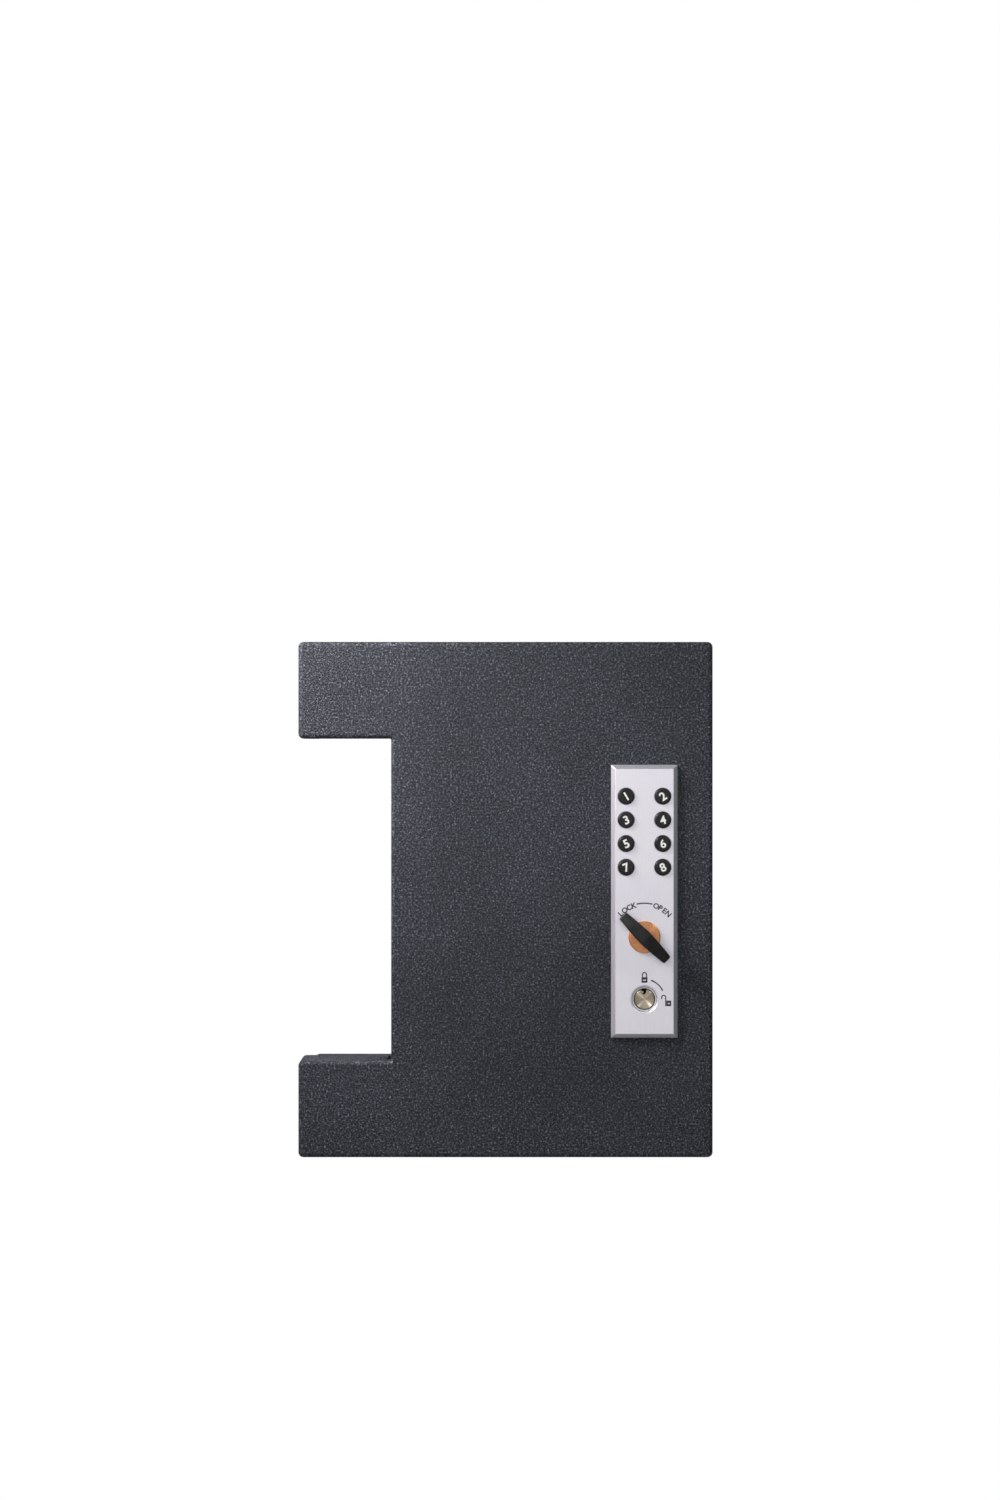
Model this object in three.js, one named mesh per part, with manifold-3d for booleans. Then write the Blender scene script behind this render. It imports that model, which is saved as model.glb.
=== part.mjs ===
// Wall-mounted rifle lock box: a C-shaped steel box that closes over the receiver of a rifle, while
// its barrel and stock stick out through the top and the bottom. The door carries a mechanical
// eight-button lock with a turning knob and a key override.
//
// Millimetres, +Z up, +X to the right, and the front faces -Y. The origin is the centre of the back
// face, which lies on the wall. The door is shut and the knob points to LOCK.
import * as THREE from "three";
import { mergeVertices } from "three/addons/utils/BufferGeometryUtils.js";
import Module from "manifold-3d";

// ---------------------------------------------------------------- driving dimensions
const WIDTH = 285.8; // outside of the door, left to right
const HEIGHT = 355.6; // outside of the door, bottom to top
const DEPTH = 92; // wall to front face
const SHEET = 2; // steel sheet of both shells
const NOTCH_DEPTH = 64; // sight notch, from the left edge inwards
const NOTCH_HALF = 111; // half of the notch's height
const SEAM_Y = -46; // rear edge of the door's side walls
const OVERLAP = 10; // how far the case's walls reach into the door
const CORNER = 3.6; // radius of the corners seen from the front
const BEND = 3; // radius between the front face and the side walls
const GAP = 0.3; // gap left between faces that touch

const LOCK_X = 95.6; // centre line of the lock
const PLATE = { width: 45.8, height: 188, thickness: 4, bevel: 3.4, z: -1 };
const BUTTON_RADIUS = 5.35;
const BUTTON_COLUMN = 12.6; // from the lock's centre line
const BUTTON_ROWS = [71.4, 55.1, 38.8, 22.5];
const KNOB_Z = -25.6;
const KEY_Z = -68.3;
const BOLT_CRANK = 8; // the bolt travels sqrt(2) times this
const CODE_CRANK = 3.2; // the code plate travels sqrt(2) times this
const KEY_CRANK = 8; // the override slide travels sqrt(2) times this

// ---------------------------------------------------------------- places worked out from them
const LEFT = -WIDTH / 2;
const RIGHT = WIDTH / 2;
const TOP = HEIGHT / 2;
const NOTCH_X = LEFT + NOTCH_DEPTH;
const FRONT_Y = -DEPTH;
const SKIN_Y = FRONT_Y + SHEET; // inside of the door's front
const CASE_INSET = SHEET + 1; // the case's walls, inside the door's outline
const HINGE_INSET = SHEET + 5; // the same on the left, where the hinges lie between the walls
const HINGE_X = LEFT + 3.2;
const RIFLE_Y = SEAM_Y; // the rifle's middle plane
const DIAGONAL = Math.SQRT1_2; // where a crank pin stands 45 degrees to either side

const PLATE_BACK = FRONT_Y - GAP;
const PLATE_FRONT = PLATE_BACK - PLATE.thickness;
const LOCK_CASE = { left: LOCK_X - 22, right: LOCK_X + 22, bottom: -88, top: 86, wall: 1.5 };
const LOCK_CASE_FRONT = SKIN_Y + GAP;
const LOCK_CASE_BACK = -65.5;

// ---------------------------------------------------------------- materials
const material = (color, roughness, metalness) => () =>
  new THREE.MeshStandardMaterial({ color, roughness, metalness });
const powderCoat = material(0x2b2d31, 0.75, 0.1);
const plainSteel = material(0x8d9094, 0.4, 0.9);
const zincSteel = material(0xa9a48f, 0.35, 0.9);
const springSteel = material(0x9a9da2, 0.3, 1);
const satinAluminium = material(0xd8d4da, 0.45, 0.8);
const plainAluminium = material(0xb4b6ba, 0.45, 0.9);
const copperDisc = material(0xc8814f, 0.45, 0.6);
const blackPlastic = material(0x1b1b1e, 0.4, 0);
const brass = material(0xb9a67c, 0.3, 1);
const foam = material(0x26272a, 0.95, 0);

// ---------------------------------------------------------------- solids
const wasm = await Module();
wasm.setup();

function solid(geometry) {
  const bare = geometry.clone();
  bare.deleteAttribute("normal");
  bare.deleteAttribute("uv");
  const merged = mergeVertices(bare, 1e-4);
  return new wasm.Manifold(
    new wasm.Mesh({
      numProp: 3,
      vertProperties: merged.attributes.position.array,
      triVerts: new Uint32Array(merged.index.array),
    }),
  );
}

function geometryOf(body) {
  const mesh = body.getMesh();
  const geometry = new THREE.BufferGeometry();
  geometry.setAttribute("position", new THREE.BufferAttribute(mesh.vertProperties, 3));
  geometry.setIndex(new THREE.BufferAttribute(mesh.triVerts, 1));
  geometry.computeVertexNormals();
  return geometry;
}

// A box between two corners.
function block(x0, x1, y0, y1, z0, z1) {
  const box = new THREE.BoxGeometry(x1 - x0, y1 - y0, z1 - z0);
  box.translate((x0 + x1) / 2, (y0 + y1) / 2, (z0 + z1) / 2);
  return solid(box);
}

// An outline in X and Z, extruded from yBack towards the front.
function slab(points, yBack, thickness) {
  const geometry = new THREE.ExtrudeGeometry(new THREE.Shape(points), {
    depth: thickness,
    bevelEnabled: false,
  });
  geometry.rotateX(Math.PI / 2);
  geometry.translate(0, yBack, 0);
  return solid(geometry);
}

// The same with its front and back edges bevelled in steps, inwards from the outline.
function bevelledSlab(points, yBack, thickness, bevel, steps) {
  const geometry = new THREE.ExtrudeGeometry(new THREE.Shape(points), {
    depth: thickness - 2 * bevel,
    bevelThickness: bevel,
    bevelSize: bevel,
    bevelOffset: -bevel,
    bevelSegments: steps,
  });
  geometry.rotateX(Math.PI / 2);
  geometry.translate(0, yBack - bevel, 0);
  return solid(geometry);
}

// A round bar along Y, from yBack towards the front.
function barY(x, z, radius, yBack, length, sides = 16) {
  const geometry = new THREE.CylinderGeometry(radius, radius, length, sides);
  geometry.translate(x, yBack - length / 2, z);
  return solid(geometry);
}

// A round bar along Z, between two heights.
function barZ(x, y, radius, z0, z1, sides = 16) {
  const geometry = new THREE.CylinderGeometry(radius, radius, z1 - z0, sides);
  geometry.rotateX(Math.PI / 2);
  geometry.translate(x, y, (z0 + z1) / 2);
  return solid(geometry);
}

// A body of revolution about Y: each pair is a radius and a height in front of yBack.
function turned(x, z, yBack, profile, sides) {
  const points = profile.map(([radius, height]) => new THREE.Vector2(radius, height));
  const geometry = new THREE.LatheGeometry(points, sides);
  geometry.rotateX(Math.PI);
  geometry.translate(x, yBack, z);
  return solid(geometry);
}

// ---------------------------------------------------------------- outlines
// A polygon whose corners are rounded: each corner is [x, z, radius].
function rounded(corners, steps = 3) {
  const points = [];
  corners.forEach(([x, z, radius], i) => {
    const corner = new THREE.Vector2(x, z);
    const before = corners[(i + corners.length - 1) % corners.length];
    const after = corners[(i + 1) % corners.length];
    const back = new THREE.Vector2(before[0], before[1]).sub(corner).normalize();
    const ahead = new THREE.Vector2(after[0], after[1]).sub(corner).normalize();
    if (!radius) {
      points.push(corner);
      return;
    }
    const half = Math.acos(THREE.MathUtils.clamp(back.dot(ahead), -1, 1)) / 2;
    const middle = back.clone().add(ahead).normalize().multiplyScalar(radius / Math.sin(half));
    const centre = corner.clone().add(middle);
    const start = corner.clone().add(back.multiplyScalar(radius / Math.tan(half))).sub(centre);
    const end = corner.clone().add(ahead.multiplyScalar(radius / Math.tan(half))).sub(centre);
    const from = start.angle();
    let sweep = end.angle() - from;
    sweep = Math.atan2(Math.sin(sweep), Math.cos(sweep));
    for (let k = 0; k <= steps; k++) {
      const angle = from + (sweep * k) / steps;
      const spoke = new THREE.Vector2(Math.cos(angle), Math.sin(angle)).multiplyScalar(radius);
      points.push(centre.clone().add(spoke));
    }
  });
  return points;
}

function rectangle(x0, x1, z0, z1, radius = 0, steps = 3) {
  const corners = [[x0, z0, radius], [x1, z0, radius], [x1, z1, radius], [x0, z1, radius]];
  return rounded(corners, steps);
}

// A slot with round ends, standing upright (or lying, if its width is the longer side).
function obround(x, z, width, height, steps = 6) {
  const radius = Math.min(width, height) / 2 - 0.01;
  return rectangle(x - width / 2, x + width / 2, z - height / 2, z + height / 2, radius, steps);
}

// The C shape of the box seen from the front, shrunk by an inset on every side.
function cOutline(inset, outer, inner, leftInset = inset, rightX = RIGHT - inset) {
  const left = LEFT + leftInset;
  const notchX = NOTCH_X + inset;
  const notchZ = NOTCH_HALF + inset;
  const top = TOP - inset;
  return rounded([
    [left, -top, outer],
    [rightX, -top, outer],
    [rightX, top, outer],
    [left, top, outer],
    [left, notchZ, outer],
    [notchX, notchZ, inner],
    [notchX, -notchZ, inner],
    [left, -notchZ, outer],
  ]);
}

// ---------------------------------------------------------------- room for the rifle
const HANDGUARD = { x: -101, halfWidth: 30, halfDepth: 30 };
const STOCK = { x: -84, halfWidth: 21, halfDepth: 22 };
const RECEIVER_HALF = 32; // half of the slot for the receiver, front to back
const CHARGING_HANDLE = { x: -100.7, halfWidth: 29.7, halfDepth: 16 };
const NOTCH_MARGIN = 8; // how far the receiver's slot reaches past the notch's inner edge

// What is cut out of both shells so that a rifle can lie in them.
function rifleRoom() {
  const well = ({ x, halfWidth, halfDepth }, z0, z1) =>
    block(x - halfWidth, x + halfWidth, RIFLE_Y - halfDepth, RIFLE_Y + halfDepth, z0, z1);
  const middle = NOTCH_X + NOTCH_MARGIN / 4;
  const receiver = { x: middle, halfWidth: NOTCH_MARGIN * 0.75, halfDepth: RECEIVER_HALF };
  const reach = NOTCH_HALF + CASE_INSET + 4;
  return well(HANDGUARD, NOTCH_HALF - 5, TOP + 5)
    .add(well(STOCK, -TOP - 5, -TOP + 12))
    .add(well(CHARGING_HANDLE, -NOTCH_HALF - 12, -NOTCH_HALF + 4))
    .add(well(receiver, -reach, reach));
}

// ---------------------------------------------------------------- shells
const MOUNTING_HOLES = [[-40, -140], [110, -140], [110, 140], [-40, 140]];
const MOUNTING_RADIUS = 4.5;

const buttonPlaces = BUTTON_ROWS.flatMap((z) => [
  [LOCK_X - BUTTON_COLUMN, z],
  [LOCK_X + BUTTON_COLUMN, z],
]);
const MOUNT_SCREWS = [
  [LOCK_X - 18.5, -83], [LOCK_X + 18.5, -83], [LOCK_X + 18.5, 81.5], [LOCK_X - 18.5, 81.5],
];
const SCREW_RADIUS = 2;
const CYLINDER_RADIUS = 8.4;
const SPINDLE_RADIUS = 4;
const STRIKE_SCREWS = [[119, KNOB_Z - 26], [119, KNOB_Z + 8]];

const HINGE_LENGTH = 50;
const HINGE_ZS = { upper: (TOP + NOTCH_HALF) / 2, lower: -(TOP + NOTCH_HALF) / 2 };
const KNUCKLE = { radius: 2.8, bore: 1.75, count: 5, gap: 0.5 };
const HINGE_ROOM = 3.4; // how far the door's wall stays from the hinge's axis

function bodyShell() {
  const depth = -SEAM_Y + OVERLAP;
  const outside = slab(cOutline(CASE_INSET, CORNER, 1, HINGE_INSET), 0, depth);
  const hollow = slab(
    cOutline(CASE_INSET + SHEET, CORNER - SHEET, 1 + SHEET, HINGE_INSET + SHEET), -SHEET, depth,
  );
  let shell = outside.subtract(hollow).subtract(rifleRoom());
  for (const [x, z] of MOUNTING_HOLES) {
    shell = shell.subtract(barY(x, z, MOUNTING_RADIUS, 5, 20, 16));
  }
  for (const [x, z] of STRIKE_SCREWS) {
    shell = shell.subtract(barY(x, z, SCREW_RADIUS + 0.4, -0.8, 10, 8));
  }
  return shell;
}

function doorShell() {
  const spare = 20; // length behind the seam that is cut away with its bevel
  const depth = SEAM_Y + spare - FRONT_Y;
  const outside = bevelledSlab(cOutline(0, CORNER, 1), SEAM_Y + spare, depth, BEND, 4);
  const behindSeam = block(LEFT - 5, RIGHT + 5, SEAM_Y, SEAM_Y + spare + 5, -TOP - 5, TOP + 5);
  const hollow = slab(cOutline(SHEET, CORNER - SHEET, 1 + SHEET), SEAM_Y + spare, depth - SHEET);
  let shell = outside.subtract(behindSeam).subtract(hollow).subtract(rifleRoom());
  for (const z of Object.values(HINGE_ZS)) {
    const half = HINGE_LENGTH / 2 + 1;
    shell = shell.subtract(
      block(LEFT - 1, LEFT + SHEET + 0.5, SEAM_Y - HINGE_ROOM, SEAM_Y + 1, z - half, z + half),
    );
  }
  const through = (x, z, radius, sides) => barY(x, z, radius, SKIN_Y + 3, 10, sides);
  for (const [x, z] of buttonPlaces) {
    shell = shell.subtract(through(x, z, BUTTON_RADIUS + 0.6, 12));
  }
  for (const [x, z] of MOUNT_SCREWS) {
    shell = shell.subtract(through(x, z, SCREW_RADIUS + 0.5, 8));
  }
  shell = shell.subtract(through(LOCK_X, KNOB_Z, SPINDLE_RADIUS + 1, 16));
  return shell.subtract(through(LOCK_X, KEY_Z, CYLINDER_RADIUS + 0.6, 20));
}

// ---------------------------------------------------------------- hinges
// One leaf with its knuckles. The case's leaf has the odd ones and lies behind the seam, and the
// door's leaf has the even ones and lies in front of it.
const LEAF = 1.2;

function hingeLeaf(z, onDoor) {
  const pitch = HINGE_LENGTH / KNUCKLE.count;
  const leafX = onDoor ? LEFT + SHEET + GAP : LEFT + HINGE_INSET - GAP - LEAF;
  const way = onDoor ? -1 : 1;
  const near = SEAM_Y + way * (KNUCKLE.radius + 0.6);
  const far = SEAM_Y + way * 18;
  const bottom = z - HINGE_LENGTH / 2;
  const plate = (y0, y1, z0, z1) =>
    block(leafX, leafX + LEAF, Math.min(y0, y1), Math.max(y0, y1), z0, z1);
  let leaf = plate(near, far, bottom, bottom + HINGE_LENGTH);
  for (let k = onDoor ? 1 : 0; k < KNUCKLE.count; k += 2) {
    const z0 = bottom + k * pitch + KNUCKLE.gap / 2;
    const z1 = z0 + pitch - KNUCKLE.gap;
    leaf = leaf.add(barZ(HINGE_X, SEAM_Y, KNUCKLE.radius, z0, z1, 14));
    leaf = leaf.add(plate(SEAM_Y + way, near + way, z0, z1));
  }
  return leaf.subtract(barZ(HINGE_X, SEAM_Y, KNUCKLE.bore, bottom - 1, bottom + HINGE_LENGTH + 1, 10));
}

function hingePin(z) {
  const half = HINGE_LENGTH / 2 + 0.6;
  return barZ(HINGE_X, SEAM_Y, 1.4, z - half, z + half, 10);
}

// ---------------------------------------------------------------- foam lining
const FOAM = 6;

function bodyFoam() {
  let pad = slab(cOutline(9, 3, 4, 12), -SHEET - GAP, FOAM);
  for (const [x, z] of MOUNTING_HOLES) {
    pad = pad.subtract(barY(x, z, 12, 0, 20, 14));
  }
  const strikeRoom = block(108, RIGHT, -20, 0, KNOB_Z - 36, KNOB_Z + 18);
  return pad.subtract(strikeRoom);
}

const doorFoam = () =>
  slab(cOutline(9, 3, 4, 9, LOCK_CASE.left - 6), SKIN_Y + GAP + FOAM, FOAM);

// ---------------------------------------------------------------- lock: face and case
function faceplate() {
  const { width, height, thickness, bevel, z } = PLATE;
  const outline = rectangle(LOCK_X - width / 2, LOCK_X + width / 2, z - height / 2, z + height / 2);
  const yBack = PLATE_BACK + thickness;
  const behind = block(
    LOCK_X - width, LOCK_X + width, PLATE_BACK, yBack + 5, z - height, z + height,
  );
  let plate = bevelledSlab(outline, yBack, 2 * thickness, bevel, 1).subtract(behind);
  for (const [x, buttonZ] of buttonPlaces) {
    plate = plate.subtract(barY(x, buttonZ, BUTTON_RADIUS + 0.35, PLATE_BACK + 2, 10, 16));
  }
  plate = plate.subtract(barY(LOCK_X, KNOB_Z, SPINDLE_RADIUS + 0.5, PLATE_BACK + 2, 10, 20));
  plate = plate.subtract(barY(LOCK_X, KEY_Z, CYLINDER_RADIUS + 0.4, PLATE_BACK + 2, 10, 24));
  const flare = [[0, 0], [CYLINDER_RADIUS + 0.2, 0], [CYLINDER_RADIUS + 1.2, 1], [0, 1]];
  plate = plate.subtract(turned(LOCK_X, KEY_Z, PLATE_FRONT + 0.8, flare, 24));
  for (const [x, screwZ] of MOUNT_SCREWS) {
    plate = plate.subtract(barY(x, screwZ, SCREW_RADIUS + 0.4, PLATE_BACK + 1, 3.6, 8));
  }
  return plate;
}

// Flat pieces inside the lock case, by their rear faces.
const STEM_RADIUS = 2.5;
const STEM_END = -76.3;
const DISC_BACK = -82; // the crank disc of the knob's spindle
const DISC = 2;
const BOLT = { back: -77.4, thickness: 3, bottom: KNOB_Z - 14, top: KNOB_Z - 4, left: LOCK_X - 8 };
const GUIDE_PLATE = { back: -76.8, thickness: 1.5, bottom: 12, top: 76 };
const CODE_PLATE = { back: -74, thickness: 1.5, top: 76 };
const SLIDE = { back: -71.7, thickness: 1.5, left: LOCK_X - 14, right: LOCK_X - 4 };
const SLIDE_POSTS = [-46, -14];
const POST_RADIUS = 1.6;
const KEY_TRAVEL = 2 * KEY_CRANK * DIAGONAL;
const CODE_TRAVEL = 2 * CODE_CRANK * DIAGONAL;
const PIN_RADIUS = 1.3;
const FREE = 0.3; // play around a moving pin

function lockCase() {
  const { left, right, bottom, top, wall } = LOCK_CASE;
  const back = LOCK_CASE_BACK - GAP;
  const outside = slab(rectangle(left, right, bottom, top, 2), back, back - LOCK_CASE_FRONT);
  const inner = rectangle(left + wall, right - wall, bottom + wall, top - wall, 1);
  const hollow = slab(inner, back + 5, back + 5 - LOCK_CASE_FRONT - wall);
  let box = outside.subtract(hollow);
  const through = (x, z, radius, sides) => barY(x, z, radius, LOCK_CASE_FRONT + 3, 8, sides);
  for (const [x, z] of buttonPlaces) {
    box = box.subtract(through(x, z, STEM_RADIUS + 0.4, 10));
  }
  for (const [x, z] of MOUNT_SCREWS) {
    box = box.subtract(through(x, z, SCREW_RADIUS + 0.5, 8));
  }
  box = box.subtract(through(LOCK_X, KNOB_Z, SPINDLE_RADIUS + 0.3, 16));
  box = box.subtract(through(LOCK_X, KEY_Z, CYLINDER_RADIUS + 0.4, 20));
  return box.subtract(boltRoom(right - 4, right + 4));
}

// The bolt's cross-section with play around it, between two places along X.
function boltRoom(x0, x1) {
  const { back, thickness, bottom, top } = BOLT;
  return block(x0, x1, back - thickness - 0.4, back + 0.4, bottom - 0.4, top + 0.4);
}

function lockCaseCover() {
  const { left, right, bottom, top } = LOCK_CASE;
  let cover = slab(rectangle(left, right, bottom, top, 2), LOCK_CASE_BACK + 1.5, 1.5);
  for (const [x, z] of MOUNT_SCREWS) {
    cover = cover.subtract(barY(x, z, SCREW_RADIUS + 0.4, LOCK_CASE_BACK + 5, 10, 8));
  }
  const postX = (SLIDE.left + SLIDE.right) / 2;
  for (const z of SLIDE_POSTS) {
    cover = cover.add(barY(postX, z, POST_RADIUS, LOCK_CASE_BACK + 0.5, 8.4, 12));
  }
  for (const z of [31, 63]) {
    cover = cover.add(barY(LOCK_X, z, 2.5, LOCK_CASE_BACK + 0.5, 8.6, 12));
  }
  return cover;
}

// A slotted pan-head screw: yBack is the underside of its head, and its shank points to the front.
function slottedScrew(x, z, yBack, length) {
  const profile = [
    [0, -2], [2.4, -2], [3.4, -1.2], [3.6, 0], [SCREW_RADIUS, 0], [SCREW_RADIUS, length], [0, length],
  ];
  const slot = block(x - 4, x + 4, yBack + 1, yBack + 3, z - 0.4, z + 0.4);
  return turned(x, z, yBack, profile, 10).subtract(slot);
}

function mountScrew([x, z]) {
  const yBack = LOCK_CASE_BACK + 1.5 + GAP;
  return slottedScrew(x, z, yBack, yBack - PLATE_BACK + 2.2);
}

// ---------------------------------------------------------------- lock: buttons
const BUTTON = { face: PLATE_FRONT - 1.8, cap: 5, collar: 4.4, collarThickness: 1.5 };
const COLLAR_FRONT = LOCK_CASE_FRONT + LOCK_CASE.wall + GAP;

// A cap outside, a stem through the lock case, and a collar inside that keeps it from falling out.
function button([x, z]) {
  const ahead = (y) => STEM_END - y;
  const face = ahead(BUTTON.face);
  const rear = face - BUTTON.cap;
  const collarFront = ahead(COLLAR_FRONT);
  const collarBack = collarFront - BUTTON.collarThickness;
  return turned(x, z, STEM_END, [
    [0, 0], [STEM_RADIUS, 0], [STEM_RADIUS, collarBack],
    [BUTTON.collar, collarBack], [BUTTON.collar, collarFront], [STEM_RADIUS, collarFront],
    [STEM_RADIUS, rear], [BUTTON_RADIUS, rear], [BUTTON_RADIUS, face - 0.8],
    [BUTTON_RADIUS - 0.8, face], [0, face],
  ], 14);
}

class Helix extends THREE.Curve {
  constructor(x, z, yBack, radius, length, turns) {
    super();
    Object.assign(this, { x, z, yBack, radius, length, turns });
  }
  getPoint(t, target = new THREE.Vector3()) {
    const angle = 2 * Math.PI * this.turns * t;
    return target.set(
      this.x + this.radius * Math.cos(angle),
      this.yBack - this.length * t,
      this.z + this.radius * Math.sin(angle),
    );
  }
}

function buttonSpring([x, z]) {
  const wire = 0.4;
  const turns = 3.5;
  const back = GUIDE_PLATE.back - GUIDE_PLATE.thickness - GAP - wire;
  const front = COLLAR_FRONT + BUTTON.collarThickness + GAP + wire;
  const path = new Helix(x, z, back, 3.55, back - front, turns);
  const section = new THREE.Shape(rounded([[-wire, -wire], [wire, -wire], [wire, wire], [-wire, wire]]));
  return solid(new THREE.ExtrudeGeometry(section, {
    steps: turns * 8,
    extrudePath: path,
    bevelEnabled: false,
  }));
}

// The fixed plate that the springs press against and the stems slide through.
function stemGuide() {
  const { left, right, wall } = LOCK_CASE;
  const { back, thickness, bottom, top } = GUIDE_PLATE;
  const outline = rectangle(left + wall + GAP, right - wall - GAP, bottom, top, 1);
  let plate = slab(outline, back, thickness);
  for (const [x, z] of buttonPlaces) {
    plate = plate.subtract(barY(x, z, STEM_RADIUS + 0.4, back + 2, 6, 10));
  }
  return plate;
}

// ---------------------------------------------------------------- lock: knob, code plate and bolt
const KNOB = { half: 21.5, middle: 5.2, tip: 2.7, back: PLATE_FRONT - 2.2, height: 15.5 };

function knobDisc() {
  return turned(LOCK_X, KNOB_Z, PLATE_FRONT - GAP, [
    [SPINDLE_RADIUS + 0.5, 0], [11.1, 0], [11.1, 1], [10.5, 1.6], [SPINDLE_RADIUS + 0.5, 1.6],
    [SPINDLE_RADIUS + 0.5, 0],
  ], 32);
}

// A lever shaped like a boat that points up and to the left, to LOCK.
function knob() {
  const { half, middle, tip, back, height } = KNOB;
  const shape = rounded([
    [-tip, half, 1.2], [-middle, half * 0.35, 6], [-middle, -half * 0.35, 6], [-tip, -half, 1.2],
    [tip, -half, 1.2], [middle, -half * 0.35, 6], [middle, half * 0.35, 6], [tip, half, 1.2],
  ], 2);
  const turnedShape = shape.map((p) => p.rotateAround(new THREE.Vector2(), Math.PI / 4));
  const placed = turnedShape.map((p) => new THREE.Vector2(p.x + LOCK_X, p.y + KNOB_Z));
  const lever = bevelledSlab(placed, back, height, 1.2, 2);
  return lever.subtract(barY(LOCK_X, KNOB_Z, SPINDLE_RADIUS + 0.3, back + 1, 10, 16));
}

// The spindle runs from the knob into the lock case. Its disc carries two crank pins: the one
// below moves the bolt to the side, and the one on the right moves the code plate down.
function spindle() {
  const front = KNOB.back - 8;
  const root = DISC_BACK - DISC / 2;
  const pin = (x, z, yBack) => barY(x, z, PIN_RADIUS, yBack, yBack - root, 12);
  const shaft = barY(LOCK_X, KNOB_Z, SPINDLE_RADIUS, root, root - front, 16);
  const disc = barY(LOCK_X, KNOB_Z, 11, DISC_BACK, DISC, 28);
  const boltReach = BOLT_CRANK * DIAGONAL;
  const boltPin = pin(LOCK_X + boltReach, KNOB_Z - boltReach, BOLT.back + 0.5);
  const codeReach = CODE_CRANK * DIAGONAL;
  const codePin = pin(LOCK_X + codeReach, KNOB_Z + codeReach, CODE_PLATE.back + 0.4);
  return shaft.add(disc).add(boltPin).add(codePin);
}

function bolt() {
  const { back, thickness, bottom, top, left } = BOLT;
  const tip = RIGHT - SHEET - 0.8;
  const bar = slab(
    rounded([[left, bottom], [tip, bottom, 1.5], [tip, top, 1.5], [left, top]], 2), back, thickness,
  );
  const pinX = LOCK_X + BOLT_CRANK * DIAGONAL;
  const play = PIN_RADIUS + FREE;
  const lowest = KNOB_Z - BOLT_CRANK - play;
  return bar.subtract(block(pinX - play, pinX + play, back - 5, back + 2, lowest, top + 2));
}

// A block screwed down inside the lock case that the bolt slides through.
const BOLT_GUIDE = { left: LOCK_X + 13, right: LOCK_X + 20, margin: 5 };

function boltGuide() {
  const { left, right, margin } = BOLT_GUIDE;
  const front = LOCK_CASE_FRONT + LOCK_CASE.wall + GAP;
  const back = BOLT.back + 1.8;
  const body = block(left, right, front, back, BOLT.bottom - margin, BOLT.top + margin);
  return body.subtract(boltRoom(left - 1, right + 1));
}

// The plate with one slot for each stem. Its tongue reaches down to the spindle's crank pin.
function codePlate() {
  const { left, right, wall } = LOCK_CASE;
  const { back, thickness, top } = CODE_PLATE;
  const side = 20.1;
  const low = 12;
  const foot = KNOB_Z - 2.5;
  const outline = rounded([
    [LOCK_X - side, low, 1], [LOCK_X - 3, low, 2], [LOCK_X - 3, foot, 1], [LOCK_X + 9, foot, 1],
    [LOCK_X + 9, low, 2], [LOCK_X + side, low, 1], [LOCK_X + side, top, 1], [LOCK_X - side, top, 1],
  ], 2);
  let plate = slab(outline, back, thickness);
  const stemRoom = 2 * (STEM_RADIUS + 0.5);
  for (const [x, z] of buttonPlaces) {
    const slot = obround(x, z + CODE_TRAVEL / 2, stemRoom, stemRoom + CODE_TRAVEL + 0.4, 2);
    plate = plate.subtract(slab(slot, back + 2, 6));
  }
  const pinX = LOCK_X + CODE_CRANK * (1 + DIAGONAL) / 2;
  const pinZ = KNOB_Z + CODE_CRANK * DIAGONAL;
  const width = CODE_CRANK * (1 - DIAGONAL) + 2 * (PIN_RADIUS + FREE);
  const height = 2 * (PIN_RADIUS + FREE);
  return plate.subtract(slab(obround(pinX, pinZ, width, height, 2), back + 2, 6));
}

// ---------------------------------------------------------------- lock: key override
const PLUG_RADIUS = 7.1;
const CYLINDER_BACK = -78;
const CYLINDER_SUNK = 1.2; // how far the cylinder lies behind the front of the plate
const PLUG_SUNK = 0.9;
const KEY_CAM = { back: -74.2, thickness: 1.8 };

function keyCylinder() {
  const length = CYLINDER_BACK - PLATE_FRONT - CYLINDER_SUNK;
  return turned(LOCK_X, KEY_Z, CYLINDER_BACK, [
    [PLUG_RADIUS + FREE, 0], [CYLINDER_RADIUS, 0], [CYLINDER_RADIUS, length - 0.4],
    [CYLINDER_RADIUS - 0.3, length], [PLUG_RADIUS + FREE, length], [PLUG_RADIUS + FREE, 0],
  ], 28);
}

function keyNut() {
  const back = -85;
  const thickness = back - (LOCK_CASE_FRONT + LOCK_CASE.wall + GAP);
  const hexagon = new THREE.CylinderGeometry(12.5, 12.5, thickness, 6);
  hexagon.translate(LOCK_X, back - thickness / 2, KEY_Z);
  return solid(hexagon).subtract(barY(LOCK_X, KEY_Z, CYLINDER_RADIUS + FREE, back + 2, 10, 24));
}

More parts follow.
